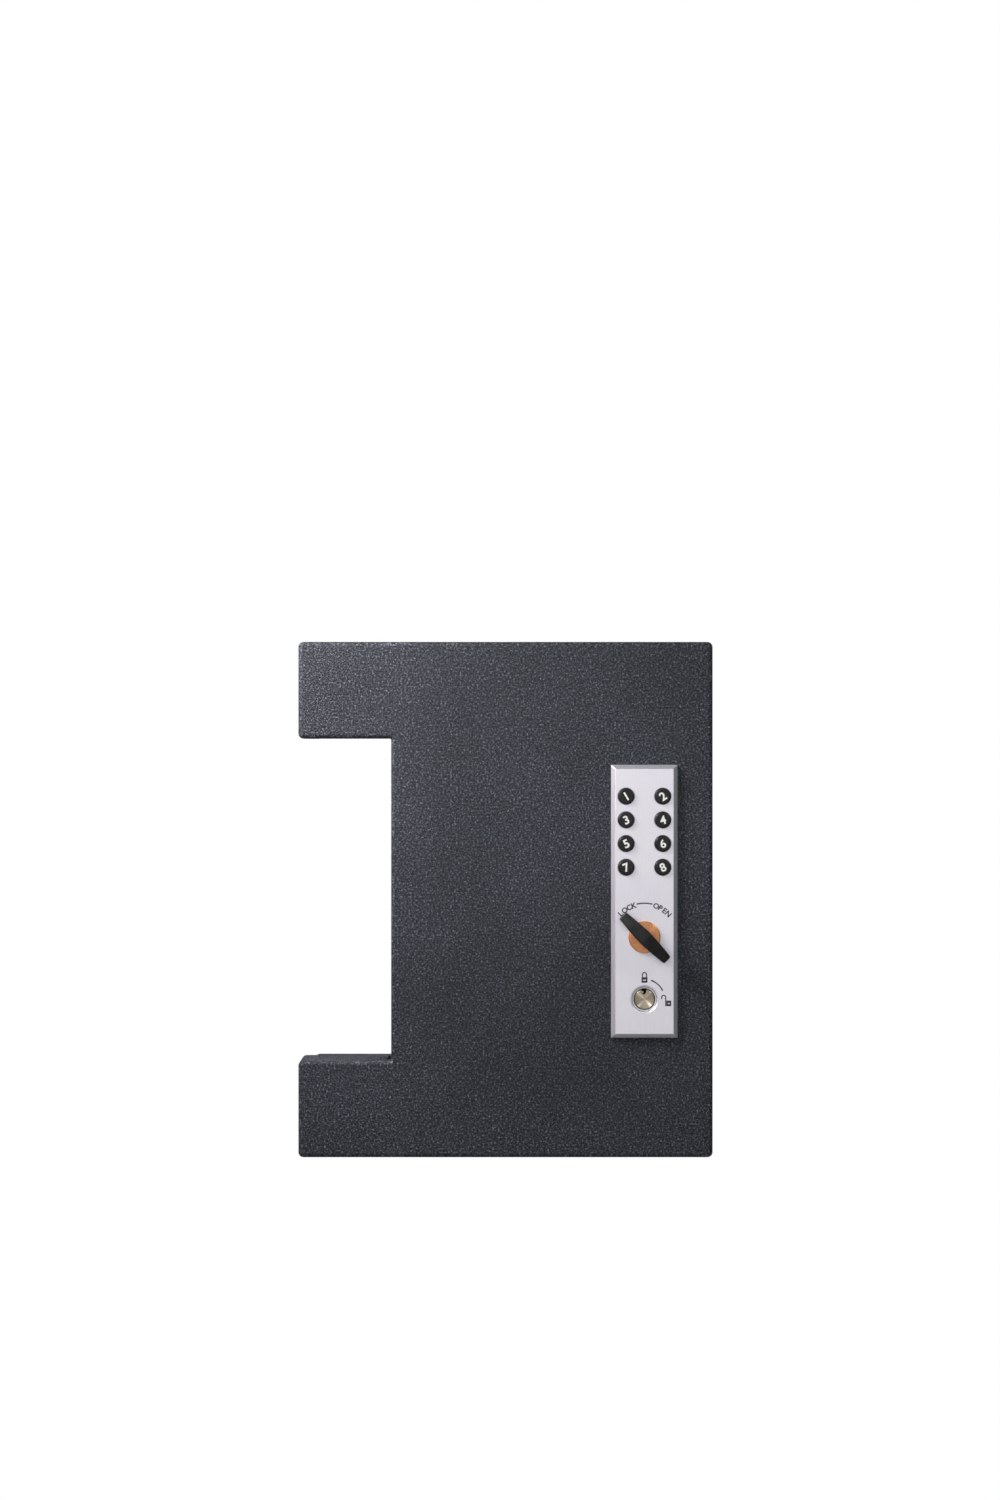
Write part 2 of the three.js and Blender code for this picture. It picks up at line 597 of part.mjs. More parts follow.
// The plug turns in the cylinder. Its keyway is a crooked slot in the upper half of its face.
function keyPlug() {
  const back = CYLINDER_BACK + 0.2;
  const length = back - PLATE_FRONT - PLUG_SUNK;
  const tail = back + 4.5;
  const plug = turned(LOCK_X, KEY_Z, tail, [
    [0, 0], [3, 0], [3, tail - back], [PLUG_RADIUS, tail - back], [PLUG_RADIUS, tail - back + length - 0.5],
    [PLUG_RADIUS - 0.5, tail - back + length], [0, tail - back + length],
  ], 28);
  const front = PLATE_FRONT - 2;
  const notch = (x0, x1, z0, z1) =>
    block(LOCK_X + x0, LOCK_X + x1, front, PLATE_FRONT + 10, KEY_Z + z0, KEY_Z + z1);
  return plug
    .subtract(notch(-0.9, 0.5, 2, 4.6))
    .subtract(notch(-0.3, 1, 0, 2.4))
    .subtract(notch(-0.9, 0.5, -2, 0.4));
}

// The cam on the plug's tail, with its crank pin on the left.
function keyCam() {
  const { back, thickness } = KEY_CAM;
  const disc = barY(LOCK_X, KEY_Z, 10.2, back, thickness, 24);
  const pin = barY(
    LOCK_X - KEY_CRANK * DIAGONAL, KEY_Z - KEY_CRANK * DIAGONAL, PIN_RADIUS,
    SLIDE.back + 0.4, SLIDE.back + 1.4 - back, 12,
  );
  return disc.add(pin).subtract(barY(LOCK_X, KEY_Z, 3.2, back + 2, 6, 14));
}

// The slide that the key lifts, guided by two posts of the cover.
function overrideSlide() {
  const { back, thickness, left, right } = SLIDE;
  const middle = (left + right) / 2;
  let slide = slab(rectangle(left, right, KEY_Z - 13, -2, 1.5), back, thickness);
  const play = POST_RADIUS + FREE;
  for (const z of SLIDE_POSTS) {
    const slot = obround(middle, z - KEY_TRAVEL / 2, 2 * play, 2 * play + KEY_TRAVEL, 2);
    slide = slide.subtract(slab(slot, back + 2, 6));
  }
  const pinZ = KEY_Z - KEY_CRANK * DIAGONAL;
  const pinPlay = PIN_RADIUS + FREE;
  return slide.subtract(
    block(LOCK_X - KEY_CRANK - pinPlay, right + 2, back - 4, back + 2, pinZ - pinPlay, pinZ + pinPlay),
  );
}

// ---------------------------------------------------------------- strike
// An angle on the case's back plate. Its tall side stands beside the case's wall and reaches into
// the door, where the bolt lies in its slot. The slot is open towards the front.
const STRIKE_FRONT = -84.5;

function strike() {
  const thick = 2.4;
  const right = RIGHT - CASE_INSET - SHEET - GAP;
  const bottom = KNOB_Z - 32;
  const top = KNOB_Z + 14;
  const back = -SHEET - GAP;
  const foot = block(112, right, back - thick, back, bottom, top);
  const side = block(right - thick, right, STRIKE_FRONT, back - thick / 2, bottom, top);
  const slot = block(
    right - 2 * thick, right + 2, STRIKE_FRONT - 2, BOLT.back + 0.4, BOLT.bottom - 0.6, BOLT.top + 0.6,
  );
  let angle = foot.add(side).subtract(slot);
  for (const [x, z] of STRIKE_SCREWS) {
    angle = angle.subtract(barY(x, z, SCREW_RADIUS + 0.4, 2, 10, 8));
  }
  return angle;
}

// A slotted screw from the inside through the strike's foot into the back plate.
function strikeScrew([x, z]) {
  const under = -SHEET - GAP - 2.4 - GAP;
  const profile = [
    [0, 0], [SCREW_RADIUS, 0], [SCREW_RADIUS, -under - 1], [3.6, -under - 1], [3.4, -under + 0.2],
    [2.4, -under + 1], [0, -under + 1],
  ];
  const slot = block(x - 4, x + 4, under - 3, under - 1, z - 0.4, z + 0.4);
  return turned(x, z, -1, profile, 10).subtract(slot);
}

// ---------------------------------------------------------------- the whole box
const group = new THREE.Group();
group.name = "rifle_lock_box";

function add(name, body, makeMaterial) {
  const mesh = new THREE.Mesh(geometryOf(body), makeMaterial());
  mesh.name = name;
  group.add(mesh);
}

add("body_shell", bodyShell(), powderCoat);
add("body_foam", bodyFoam(), foam);
add("strike_bracket", strike(), plainSteel);
STRIKE_SCREWS.forEach((place, i) => add(`strike_screw_${i + 1}`, strikeScrew(place), zincSteel));
add("door_shell", doorShell(), powderCoat);
add("door_foam", doorFoam(), foam);
for (const [name, z] of Object.entries(HINGE_ZS)) {
  add(`${name}_hinge_case_leaf`, hingeLeaf(z, false), plainSteel);
  add(`${name}_hinge_door_leaf`, hingeLeaf(z, true), plainSteel);
  add(`${name}_hinge_pin`, hingePin(z), plainSteel);
}
add("faceplate", faceplate(), satinAluminium);
add("lock_case", lockCase(), plainSteel);
add("lock_case_cover", lockCaseCover(), plainSteel);
MOUNT_SCREWS.forEach((place, i) => add(`lock_screw_${i + 1}`, mountScrew(place), zincSteel));
buttonPlaces.forEach((place, i) => add(`button_${i + 1}`, button(place), blackPlastic));
buttonPlaces.forEach((place, i) => add(`button_spring_${i + 1}`, buttonSpring(place), springSteel));
add("stem_guide", stemGuide(), zincSteel);
add("knob_disc", knobDisc(), copperDisc);
add("knob", knob(), blackPlastic);
add("knob_spindle", spindle(), plainSteel);
add("bolt_guide", boltGuide(), zincSteel);
add("latch_bolt", bolt(), plainSteel);
add("code_plate", codePlate(), plainAluminium);
add("key_cylinder", keyCylinder(), brass);
add("key_nut", keyNut(), brass);
add("key_plug", keyPlug(), brass);
add("key_cam", keyCam(), zincSteel);
add("override_slide", overrideSlide(), zincSteel);

export default group;
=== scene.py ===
"""Looks of a wall-mounted rifle lock box: a C-shaped steel box with a push-button lock.

Shapes are given in millimetres in the frame of the CAD model: +Z up, the front faces -Y, and the
origin is the centre of the back face.
"""
import math

import bmesh
import bpy
from mathutils import Matrix, Vector

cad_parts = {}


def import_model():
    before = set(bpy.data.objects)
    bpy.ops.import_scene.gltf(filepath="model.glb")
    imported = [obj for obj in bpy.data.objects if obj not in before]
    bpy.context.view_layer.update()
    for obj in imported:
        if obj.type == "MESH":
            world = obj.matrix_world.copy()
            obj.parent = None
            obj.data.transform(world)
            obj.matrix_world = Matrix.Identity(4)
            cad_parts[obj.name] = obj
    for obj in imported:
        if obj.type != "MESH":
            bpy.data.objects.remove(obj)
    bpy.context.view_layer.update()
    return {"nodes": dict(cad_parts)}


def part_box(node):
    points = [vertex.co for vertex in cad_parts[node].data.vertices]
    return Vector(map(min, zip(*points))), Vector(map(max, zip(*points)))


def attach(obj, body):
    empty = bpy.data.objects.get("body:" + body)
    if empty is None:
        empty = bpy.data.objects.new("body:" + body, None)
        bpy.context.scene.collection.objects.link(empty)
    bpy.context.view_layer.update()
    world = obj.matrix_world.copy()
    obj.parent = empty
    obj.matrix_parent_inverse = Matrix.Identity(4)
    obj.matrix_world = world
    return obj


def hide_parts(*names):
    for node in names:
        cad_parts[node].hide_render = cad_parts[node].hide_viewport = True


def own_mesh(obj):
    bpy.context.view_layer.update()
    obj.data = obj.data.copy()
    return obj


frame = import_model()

MM = 0.001


def box_mm(node):
    """Lowest and highest corner of a CAD node in millimetres."""
    low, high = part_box(node)
    return [c / MM for c in low], [c / MM for c in high]


def centre_mm(node):
    """Middle of a CAD node in X and Z."""
    low, high = box_mm(node)
    return (low[0] + high[0]) / 2, (low[2] + high[2]) / 2


# ---------------------------------------------------------------- places, from the frame
(LEFT, FRONT, _), (RIGHT, SEAM, TOP) = box_mm("door_shell")
CASE_LOW, CASE_HIGH = box_mm("body_shell")
CASE_INSET = RIGHT - CASE_HIGH[0]
PLATE_LOW, PLATE_HIGH = box_mm("faceplate")
PLATE_FRONT = PLATE_LOW[1]
KNOB_X, KNOB_Z = centre_mm("knob")
KEY_Z = centre_mm("key_plug")[1]
BUTTONS = [f"button_{i}" for i in range(1, 9)]

# ---------------------------------------------------------------- sizes of the sheet metal
SHEET = 2
CORNER = 3.6  # radius of the corners seen from the front
BEND = 3  # radius between the front and the side walls
NOTCH_X = LEFT + 64  # inner edge of the notch
NOTCH_HALF = 111  # half of the notch's height
MOUNT_HOLES = [(-40, -140), (110, -140), (110, 140), (-40, 140)]
MOUNT_HOLE = 4.5  # radius, as for the holes below
BUTTON_HOLE = 5.95
KNOB_HOLE = 5
KEY_HOLE = 9


# ================================================================ geometry
def full_turn(sides):
    """Angles in equal steps all the way round."""
    return [2 * math.pi * k / sides for k in range(sides)]


def rounded(corners, steps=8):
    """A polygon in X and Z whose corners [x, z, radius] are rounded."""
    points = []
    for i, (x, z, radius) in enumerate(corners):
        corner = Vector((x, z))
        if radius <= 0:
            points.append((x, z))
            continue
        back = (Vector(corners[i - 1][:2]) - corner).normalized()
        ahead = (Vector(corners[(i + 1) % len(corners)][:2]) - corner).normalized()
        half = back.angle(ahead) / 2
        centre = corner + (back + ahead).normalized() * radius / math.sin(half)
        start = corner + back * radius / math.tan(half) - centre
        end = corner + ahead * radius / math.tan(half) - centre
        first = math.atan2(start.y, start.x)
        turn = math.atan2(end.y, end.x) - first
        turn = math.atan2(math.sin(turn), math.cos(turn))
        for k in range(steps + 1):
            angle = first + turn * k / steps
            points.append((centre.x + radius * math.cos(angle), centre.y + radius * math.sin(angle)))
    return points


def rectangle(x0, x1, z0, z1, radius=0, steps=6):
    """A rectangle in X and Z whose corners may be rounded."""
    return rounded([(x0, z0, radius), (x1, z0, radius), (x1, z1, radius), (x0, z1, radius)], steps)


def c_outline(inset, left_inset=None, right=None, outer=CORNER, inner=1):
    """The C shape of the box seen from the front, shrunk by an inset on every side."""
    left = LEFT + (inset if left_inset is None else left_inset)
    right = RIGHT - inset if right is None else right
    notch_x = NOTCH_X + inset
    notch_z = NOTCH_HALF + inset
    top = TOP - inset
    out = max(outer - inset, 0.4)
    back = inner + inset
    return rounded([
        (left, -top, out), (right, -top, out), (right, top, out), (left, top, out),
        (left, notch_z, out), (notch_x, notch_z, back),
        (notch_x, -notch_z, back), (left, -notch_z, out),
    ])


def ring(outline, y):
    """An outline in X and Z, set at one depth."""
    return [(x, y, z) for x, z in outline]


def loft(rings, bm=None):
    """Faces through a row of rings that have the same number of points, with a cap at each end."""
    bm = bm or bmesh.new()
    rows = [[bm.verts.new(Vector(point) * MM) for point in points] for points in rings]
    made = []
    for a, b in zip(rows, rows[1:]):
        for i in range(len(a)):
            j = (i + 1) % len(a)
            made.append(bm.faces.new((a[i], a[j], b[j], b[i])))
    made.append(bm.faces.new(list(reversed(rows[0]))))
    made.append(bm.faces.new(rows[-1]))
    bmesh.ops.recalc_face_normals(bm, faces=made)
    return bm


def rounded_slab(outline_at, y_back, y_front, edge, steps):
    """A flat piece with rounded edges. outline_at(inset) gives its outline, shrunk by an inset."""
    back, front = [], []
    for k in range(steps + 1):
        angle = math.pi / 2 * k / steps
        falling, rising = edge * (1 - math.sin(angle)), edge * (1 - math.cos(angle))
        back.append(ring(outline_at(falling), y_back - rising))
        front.append(ring(outline_at(rising), y_front + falling))
    return loft(back + front)


def lathe(x, z, profile, sides=48):
    """A body of revolution about Y. Its profile of (radius, y) is closed, or ends on the axis."""
    bm = bmesh.new()
    axis_ended = profile[0][0] == 0
    rows = []
    for radius, y in profile:
        if radius == 0:
            rows.append([bm.verts.new(Vector((x, y, z)) * MM)])
            continue
        rows.append([
            bm.verts.new(Vector((x + radius * math.cos(a), y, z + radius * math.sin(a))) * MM)
            for a in full_turn(sides)
        ])
    made = []
    pairs = list(zip(rows, rows[1:]))
    if not axis_ended:
        pairs.append((rows[-1], rows[0]))
    for a, b in pairs:
        for i in range(sides):
            j = (i + 1) % sides
            if len(a) == 1:
                made.append(bm.faces.new((a[0], b[j], b[i])))
            elif len(b) == 1:
                made.append(bm.faces.new((a[i], a[j], b[0])))
            else:
                made.append(bm.faces.new((a[i], a[j], b[j], b[i])))
    bmesh.ops.recalc_face_normals(bm, faces=made)
    return bm


def bar(start, end, radius, sides):
    """A round bar between two points, in millimetres."""
    bm = bmesh.new()
    start, end = Vector(start) * MM, Vector(end) * MM
    way = end - start
    place = Matrix.Translation((start + end) / 2) @ way.to_track_quat("Z", "Y").to_matrix().to_4x4()
    bmesh.ops.create_cone(
        bm, cap_ends=True, segments=sides, radius1=radius * MM, radius2=radius * MM,
        depth=way.length, matrix=place,
    )
    return bm


def block(x0, x1, y0, y1, z0, z1, bm=None):
    """A box between two corners, in millimetres."""
    outline = rectangle(x0, x1, z0, z1)
    return loft([ring(outline, y0), ring(outline, y1)], bm)


def sweep(points, radius, sides=10):
    """A round wire through points in millimetres, with flat ends."""
    points = [Vector(p) for p in points]
    up = Vector((0, 1, 0))
    rings = []
    for i, point in enumerate(points):
        ahead = (points[min(i + 1, len(points) - 1)] - points[max(i - 1, 0)]).normalized()
        side = ahead.cross(up).normalized()
        rise = side.cross(ahead).normalized()
        rings.append([
            point + radius * (math.cos(a) * side + math.sin(a) * rise)
            for a in full_turn(sides)
        ])
    return loft(rings)


def smooth_apart_from(mesh, sharp):
    """Shades a mesh smooth, apart from edges that turn by more than an angle in degrees."""
    for face in mesh.polygons:
        face.use_smooth = True
    mesh.set_sharp_from_angle(angle=math.radians(sharp))
    return mesh


def as_mesh(name, bm, sharp=35):
    """A finished mesh, shaded smooth apart from its sharp edges."""
    mesh = bpy.data.meshes.new(name)
    bm.to_mesh(mesh)
    bm.free()
    return smooth_apart_from(mesh, sharp)


def combined(mesh, tools, operation, sharp=35):
    """The mesh after a boolean with each of the tools in turn."""
    worked = bpy.data.objects.new("worked", mesh)
    bpy.context.collection.objects.link(worked)
    helpers = []
    for bm in tools:
        helper = bpy.data.objects.new("helper", as_mesh("helper", bm))
        bpy.context.collection.objects.link(helper)
        modifier = worked.modifiers.new("shape", "BOOLEAN")
        modifier.operation = operation
        modifier.solver = "EXACT"
        modifier.object = helper
        helpers.append(helper)
    depsgraph = bpy.context.evaluated_depsgraph_get()
    result = bpy.data.meshes.new_from_object(worked.evaluated_get(depsgraph))
    for thing in [worked, *helpers]:
        bpy.data.objects.remove(thing)
    return smooth_apart_from(result, sharp)


def cut(mesh, cutters, sharp=35):
    """The mesh with each cutter taken away."""
    return combined(mesh, cutters, "DIFFERENCE", sharp)


def soften(thing, width, segments=2, angle=40):
    """Rounds the sharp edges of a piece by a width in millimetres."""
    bevel = thing.modifiers.new("soft_edges", "BEVEL")
    bevel.width = width * MM
    bevel.segments = segments
    bevel.limit_method = "ANGLE"
    bevel.angle_limit = math.radians(angle)
    return flat_stays_flat(thing)


def flat_stays_flat(thing):
    """Lets the large faces of a piece set the shading, so that a rounded edge doesn't tint them."""
    weighted = thing.modifiers.new("flat_faces", "WEIGHTED_NORMAL")
    weighted.keep_sharp = True
    weighted.weight = 100
    return thing


def piece(name, mesh, material, body, stands_for=()):
    """A piece of the object that rides on a body and may stand for CAD nodes."""
    mesh.name = name
    mesh.materials.clear()
    mesh.materials.append(material)
    thing = bpy.data.objects.new(name, mesh)
    bpy.context.collection.objects.link(thing)
    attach(thing, body)
    if stands_for:
        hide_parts(*stands_for)
    return thing


def carried_over(node, material, edge):
    """A CAD node that is shown itself, with a finished material and softened edges."""
    thing = frame["nodes"][node]
    if not thing.material_slots:
        thing.data.materials.append(material)
    for slot in thing.material_slots:
        slot.material = material
    return soften(thing, edge)


# ================================================================ materials
class Nodes:
    """A material's node tree with its shader, and short ways to add to it."""

    def __init__(self, name, **settings):
        self.material = bpy.data.materials.new(name)
        self.material.use_nodes = True
        self.tree = self.material.node_tree
        self.shader = self.tree.nodes["Principled BSDF"]
        for socket, value in settings.items():
            self.shader.inputs[socket.replace("_", " ")].default_value = value
        self.place = self.add("ShaderNodeTexCoord").outputs["Object"]

    def add(self, kind, **settings):
        node = self.tree.nodes.new(kind)
        for setting, value in settings.items():
            setattr(node, setting, value)
        return node

    def link(self, output, target):
        self.tree.links.new(output, target)

    def stretched(self, scale):
        """The place on the object with each axis scaled by its own factor."""
        mapping = self.add("ShaderNodeMapping")
        mapping.inputs["Scale"].default_value = scale
        self.link(self.place, mapping.inputs["Vector"])
        return mapping.outputs["Vector"]

    def noise(self, scale, detail=3, roughness=0.5, where=None):
        """Noise of a scale in cells per metre."""
        node = self.add("ShaderNodeTexNoise")
        node.inputs["Scale"].default_value = scale
        node.inputs["Detail"].default_value = detail
        node.inputs["Roughness"].default_value = roughness
        self.link(where or self.place, node.inputs["Vector"])
        return node.outputs["Fac"]

    def ramp(self, factor, stops):
        """A colour ramp through stops of (position, colour)."""
        node = self.add("ShaderNodeValToRGB")
        elements = node.color_ramp.elements
        while len(elements) < len(stops):
            elements.new(0.5)
        for element, (position, colour) in zip(elements, stops):
            element.position = position
            element.color = (*colour, 1)
        self.link(factor, node.inputs["Fac"])
        return node.outputs["Color"]

    def span(self, factor, low, high, from_low=0.3, from_high=0.7):
        """A factor between two limits, stretched to run from low to high."""
        node = self.add("ShaderNodeMapRange")
        node.inputs["From Min"].default_value = from_low
        node.inputs["From Max"].default_value = from_high
        node.inputs["To Min"].default_value = low
        node.inputs["To Max"].default_value = high
        self.link(factor, node.inputs["Value"])
        return node.outputs["Result"]

    def multiply(self, a, b):
        """Two colours multiplied."""
        node = self.add("ShaderNodeMix", data_type="RGBA", blend_type="MULTIPLY")
        node.inputs["Factor"].default_value = 1.0
        self.link(a, node.inputs["A"])
        self.link(b, node.inputs["B"])
        return node.outputs["Result"]

    def bump(self, height, strength, distance, before=None):
        """A bumped normal, laid over the one before it."""
        node = self.add("ShaderNodeBump")
        node.inputs["Strength"].default_value = strength
        node.inputs["Distance"].default_value = distance
        self.link(height, node.inputs["Height"])
        if before:
            self.link(before, node.inputs["Normal"])
        return node.outputs["Normal"]

    def turned_about_y(self, strength):
        """Rings cut round the Y axis, which spread the light along each radius."""
        self.shader.inputs["Anisotropic"].default_value = strength
        self.shader.inputs["Anisotropic Rotation"].default_value = 0.25
        tangent = self.add("ShaderNodeTangent", direction_type="RADIAL", axis="Y")
        self.link(tangent.outputs["Tangent"], self.shader.inputs["Tangent"])

    def colour(self, output):
        self.link(output, self.shader.inputs["Base Color"])

    def rough(self, output):
        self.link(output, self.shader.inputs["Roughness"])

    def normal(self, output):
        self.link(output, self.shader.inputs["Normal"])


def grey(value, tint=(1, 1, 1)):
    """A grey that may lean to a tint."""
    return tuple(value * t for t in tint)


def powder_coat():
    """Black textured powder coat: a fine pebbled grain whose crests are painted paler as highlights,
    with faint scuffs.
    """
    nodes = Nodes("powder_coat", Specular_IOR_Level=0.26)
    cool = (0.91, 0.975, 1.25)
    pebble = 760
    grain = nodes.noise(pebble, detail=4, roughness=0.7)
    broad = nodes.noise(9, detail=3)
    # Grain colour: near black in the hollows, the coat's own tone; the crests are painted paler as
    # highlights of the bumps
    grain_with_painted_glints = nodes.ramp(grain, [
        (0.36, grey(0.004, cool)), (0.49, grey(0.022, cool)), (0.6, grey(0.075, cool)),
        (0.7, grey(0.3, cool)),
    ])
    worn = nodes.ramp(broad, [(0.35, grey(0.8)), (0.65, grey(1.15))])
    nodes.colour(nodes.multiply(grain_with_painted_glints, worn))
    nodes.rough(nodes.span(grain, 0.62, 0.4))
    pebbles = nodes.noise(pebble, detail=3, roughness=0.6)
    fine = nodes.noise(1700, detail=2)
    nodes.normal(nodes.bump(fine, 0.4, 0.0001, nodes.bump(pebbles, 1.0, 0.0007)))
    return nodes.material


def satin_aluminium():
    """Satin aluminium, brushed along the plate."""
    nodes = Nodes("satin_aluminium", Metallic=0.86)
    strokes = nodes.noise(60, detail=5, roughness=0.7, where=nodes.stretched((40, 1, 1.4)))
    cloud = nodes.noise(45, detail=2)
    base = nodes.ramp(strokes, [(0.3, (0.87, 0.855, 0.9)), (0.7, (0.95, 0.935, 0.975))])
    tint = nodes.ramp(cloud, [(0.3, (0.97, 0.955, 1.0)), (0.7, (1.0, 0.985, 1.0))])
    nodes.colour(nodes.multiply(base, tint))
    nodes.rough(nodes.span(strokes, 0.38, 0.48))
    nodes.normal(nodes.bump(strokes, 0.12, 0.00005))
    return nodes.material


def copper():
    """Copper-coloured disc with a fine grain, turned on its face."""
    nodes = Nodes("copper", Metallic=0.75)
    nodes.turned_about_y(0.8)
    grain = nodes.noise(1500, detail=3)
    cloud = nodes.noise(220, detail=2)
    base = nodes.ramp(grain, [(0.3, (0.74, 0.29, 0.115)), (0.7, (1.0, 0.49, 0.25))])
    tint = nodes.ramp(cloud, [(0.3, grey(0.85)), (0.7, grey(1.05))])
    nodes.colour(nodes.multiply(base, tint))
    nodes.rough(nodes.span(grain, 0.32, 0.48))
    nodes.normal(nodes.bump(grain, 0.25, 0.00005))
    return nodes.material


def brass(name="brass", turned_face=False):
    """Brass with a fine grain; a turned face has rings cut round its axis, which fan the light."""
    nodes = Nodes(name, Metallic=1.0)
    grain = nodes.noise(1800, detail=3)
    nodes.colour(nodes.ramp(grain, [(0.3, (0.42, 0.35, 0.27)), (0.7, (0.68, 0.58, 0.46))]))
    nodes.normal(nodes.bump(grain, 0.1, 0.00003))
    if turned_face:
        nodes.rough(nodes.span(grain, 0.3, 0.38))
        nodes.turned_about_y(0.97)
    else:
        nodes.rough(nodes.span(grain, 0.2, 0.34))
    return nodes.material


def black_plastic():
    """Glossy black plastic with a faint moulded grain and dust-fine wear."""
    nodes = Nodes("black_plastic", Specular_IOR_Level=0.3)
    grain = nodes.noise(1600, detail=3)
    wear = nodes.noise(120, detail=4)
    nodes.colour(nodes.ramp(wear, [(0.35, (0.006, 0.0055, 0.006)), (0.75, (0.02, 0.018, 0.019))]))
    nodes.rough(nodes.span(wear, 0.34, 0.5))
    nodes.normal(nodes.bump(grain, 0.12, 0.00004))
    return nodes.material


def steel(name, dark, pale, rough_low, rough_high, stroke=(1, 1, 30)):
    """Bare or plated steel with a rolled grain along one axis."""
    nodes = Nodes(name, Metallic=1.0)
    strokes = nodes.noise(90, detail=4, roughness=0.65, where=nodes.stretched(stroke))
    patches = nodes.noise(35, detail=3)
    base = nodes.ramp(strokes, [(0.3, dark), (0.7, pale)])
    tint = nodes.ramp(patches, [(0.3, grey(0.86)), (0.7, grey(1.0))])
    nodes.colour(nodes.multiply(base, tint))
    nodes.rough(nodes.span(patches, rough_low, rough_high))
    nodes.normal(nodes.bump(strokes, 0.1, 0.00004))
    return nodes.material


def foam():
    """Closed-cell foam: matt, with fine open pores on its skin."""
    nodes = Nodes("foam", Sheen_Weight=0.25)
    cells = nodes.add("ShaderNodeTexVoronoi")
    cells.inputs["Scale"].default_value = 900
    nodes.link(nodes.place, cells.inputs["Vector"])
    pores = cells.outputs["Distance"]
    cloud = nodes.noise(60, detail=3)
    nodes.colour(nodes.ramp(cloud, [(0.3, (0.018, 0.018, 0.02)), (0.7, (0.038, 0.038, 0.042))]))
    nodes.rough(nodes.span(cloud, 0.85, 0.97))
    nodes.normal(nodes.bump(pores, 0.5, 0.0004))
    return nodes.material


def ink(name, dark, pale):
    """Printed paint, slightly uneven."""
    nodes = Nodes(name)
    uneven = nodes.noise(900, detail=3)
    nodes.colour(nodes.ramp(uneven, [(0.3, dark), (0.7, pale)]))
    nodes.rough(nodes.span(uneven, 0.45, 0.6))
    nodes.normal(nodes.bump(uneven, 0.1, 0.00003))
    return nodes.material


POWDER = powder_coat()
ALUMINIUM = satin_aluminium()
COPPER = copper()
BRASS = brass()
TURNED_BRASS = brass("turned_brass", turned_face=True)
NICKEL = steel("nickel_plate", (0.7, 0.69, 0.71), (0.9, 0.89, 0.91), 0.45, 0.55, (30, 1, 1))
# Near-black steel, used only for the painted shade inside the keyway
KEYWAY_SHADE_STEEL = steel("keyway_shade_steel", (0.004, 0.004, 0.004), (0.012, 0.012, 0.012), 0.5, 0.7)
BLACK = black_plastic()
STEEL = steel("plain_steel", (0.33, 0.34, 0.35), (0.56, 0.57, 0.59), 0.3, 0.46)
ZINC = steel("zinc_steel", (0.48, 0.45, 0.33), (0.7, 0.67, 0.55), 0.24, 0.4, (30, 1, 1))
PLAIN_ALUMINIUM = steel("plain_aluminium", (0.55, 0.56, 0.58), (0.74, 0.75, 0.77), 0.34, 0.5)
SPRING = steel("spring_steel", (0.42, 0.43, 0.45), (0.66, 0.67, 0.7), 0.18, 0.28, (1, 30, 1))
FOAM = foam()
DIGIT = ink("digit_paint", (0.7, 0.7, 0.7), (0.86, 0.86, 0.86))
LEGEND = ink("legend_ink", (0.014, 0.013, 0.018), (0.03, 0.027, 0.036))


# ================================================================ room for the rifle
def well(x, half_width, half_depth, z0, z1, radius=6):
    """A cutter along Z whose corners are rounded."""
    outline = rectangle(x - half_width, x + half_width, SEAM - half_depth, SEAM + half_depth, radius)
    return loft([[(a, b, z) for a, b in outline] for z in (z0, z1)])


def rifle_room():
    """Cutters where the rifle lies: its middle in X, then its half width and half depth."""
    handguard = well(-101, 30, 30, NOTCH_HALF - 5, TOP + 5)
    stock = well(-84, 21, 22, -TOP - 5, -TOP + 12)
    charging_handle = well(-100.7, 29.7, 16, -NOTCH_HALF - 12, -NOTCH_HALF + 4, 3)
    receiver = well(NOTCH_X + 2, 6, 32, -NOTCH_HALF - 7, NOTCH_HALF + 7, 1)
    return [handguard, stock, charging_handle, receiver]


# ================================================================ shells
HINGE_LENGTH = 50
HINGE_Z = {"upper": (TOP + NOTCH_HALF) / 2, "lower": -(TOP + NOTCH_HALF) / 2}
HINGE_X = centre_mm("upper_hinge_pin")[0]
KNUCKLES = 5
KNUCKLE_GAP = 0.5
KNUCKLE_RADIUS = 2.8
PIN_BORE = 1.75
PIN_RADIUS = 1.4
PIN_CHAMFER = 0.5
SEAM_ROOM = 3.4  # room that the knuckles take on both sides of the seam


def bent_rings(outline_at, y_wall, y_face, radius, steps):
    """Rings round a bend, from a side wall to a face in front of it."""
    rings = []
    for k in range(steps + 1):
        angle = math.pi / 2 * k / steps
        inset, depth = radius * (1 - math.cos(angle)), radius * (1 - math.sin(angle))
        rings.append(ring(outline_at(inset), y_face + depth))
    return [ring(outline_at(0), y_wall), *rings]


def door_shell():
    """The door's tray, bent from sheet, with the holes for the lock and the gaps for the hinges."""
    inside = bent_rings(lambda inset: c_outline(SHEET + inset), SEAM, FRONT + SHEET, 1, 3)
    outside = bent_rings(c_outline, SEAM, FRONT, BEND, 7)
    mesh = as_mesh("door_skin", loft(list(reversed(inside)) + outside))

    def hole(x, z, radius, sides):
        return bar((x, FRONT - 5, z), (x, FRONT + 5, z), radius, sides)

    cutters = rifle_room()
    for z in HINGE_Z.values():
        half = HINGE_LENGTH / 2 + 1
        wall = (LEFT - 1, LEFT + SHEET + 0.5)
        cutters.append(block(*wall, SEAM - SEAM_ROOM, SEAM + 1, z - half, z + half))
    cutters += [hole(*centre_mm(name), BUTTON_HOLE, 32) for name in BUTTONS]
    cutters.append(hole(KNOB_X, KNOB_Z, KNOB_HOLE, 32))
    cutters.append(hole(KNOB_X, KEY_Z, KEY_HOLE, 40))
    skin = piece("door_skin", cut(mesh, cutters), POWDER, "door", ["door_shell"])
    return soften(skin, 0.35)


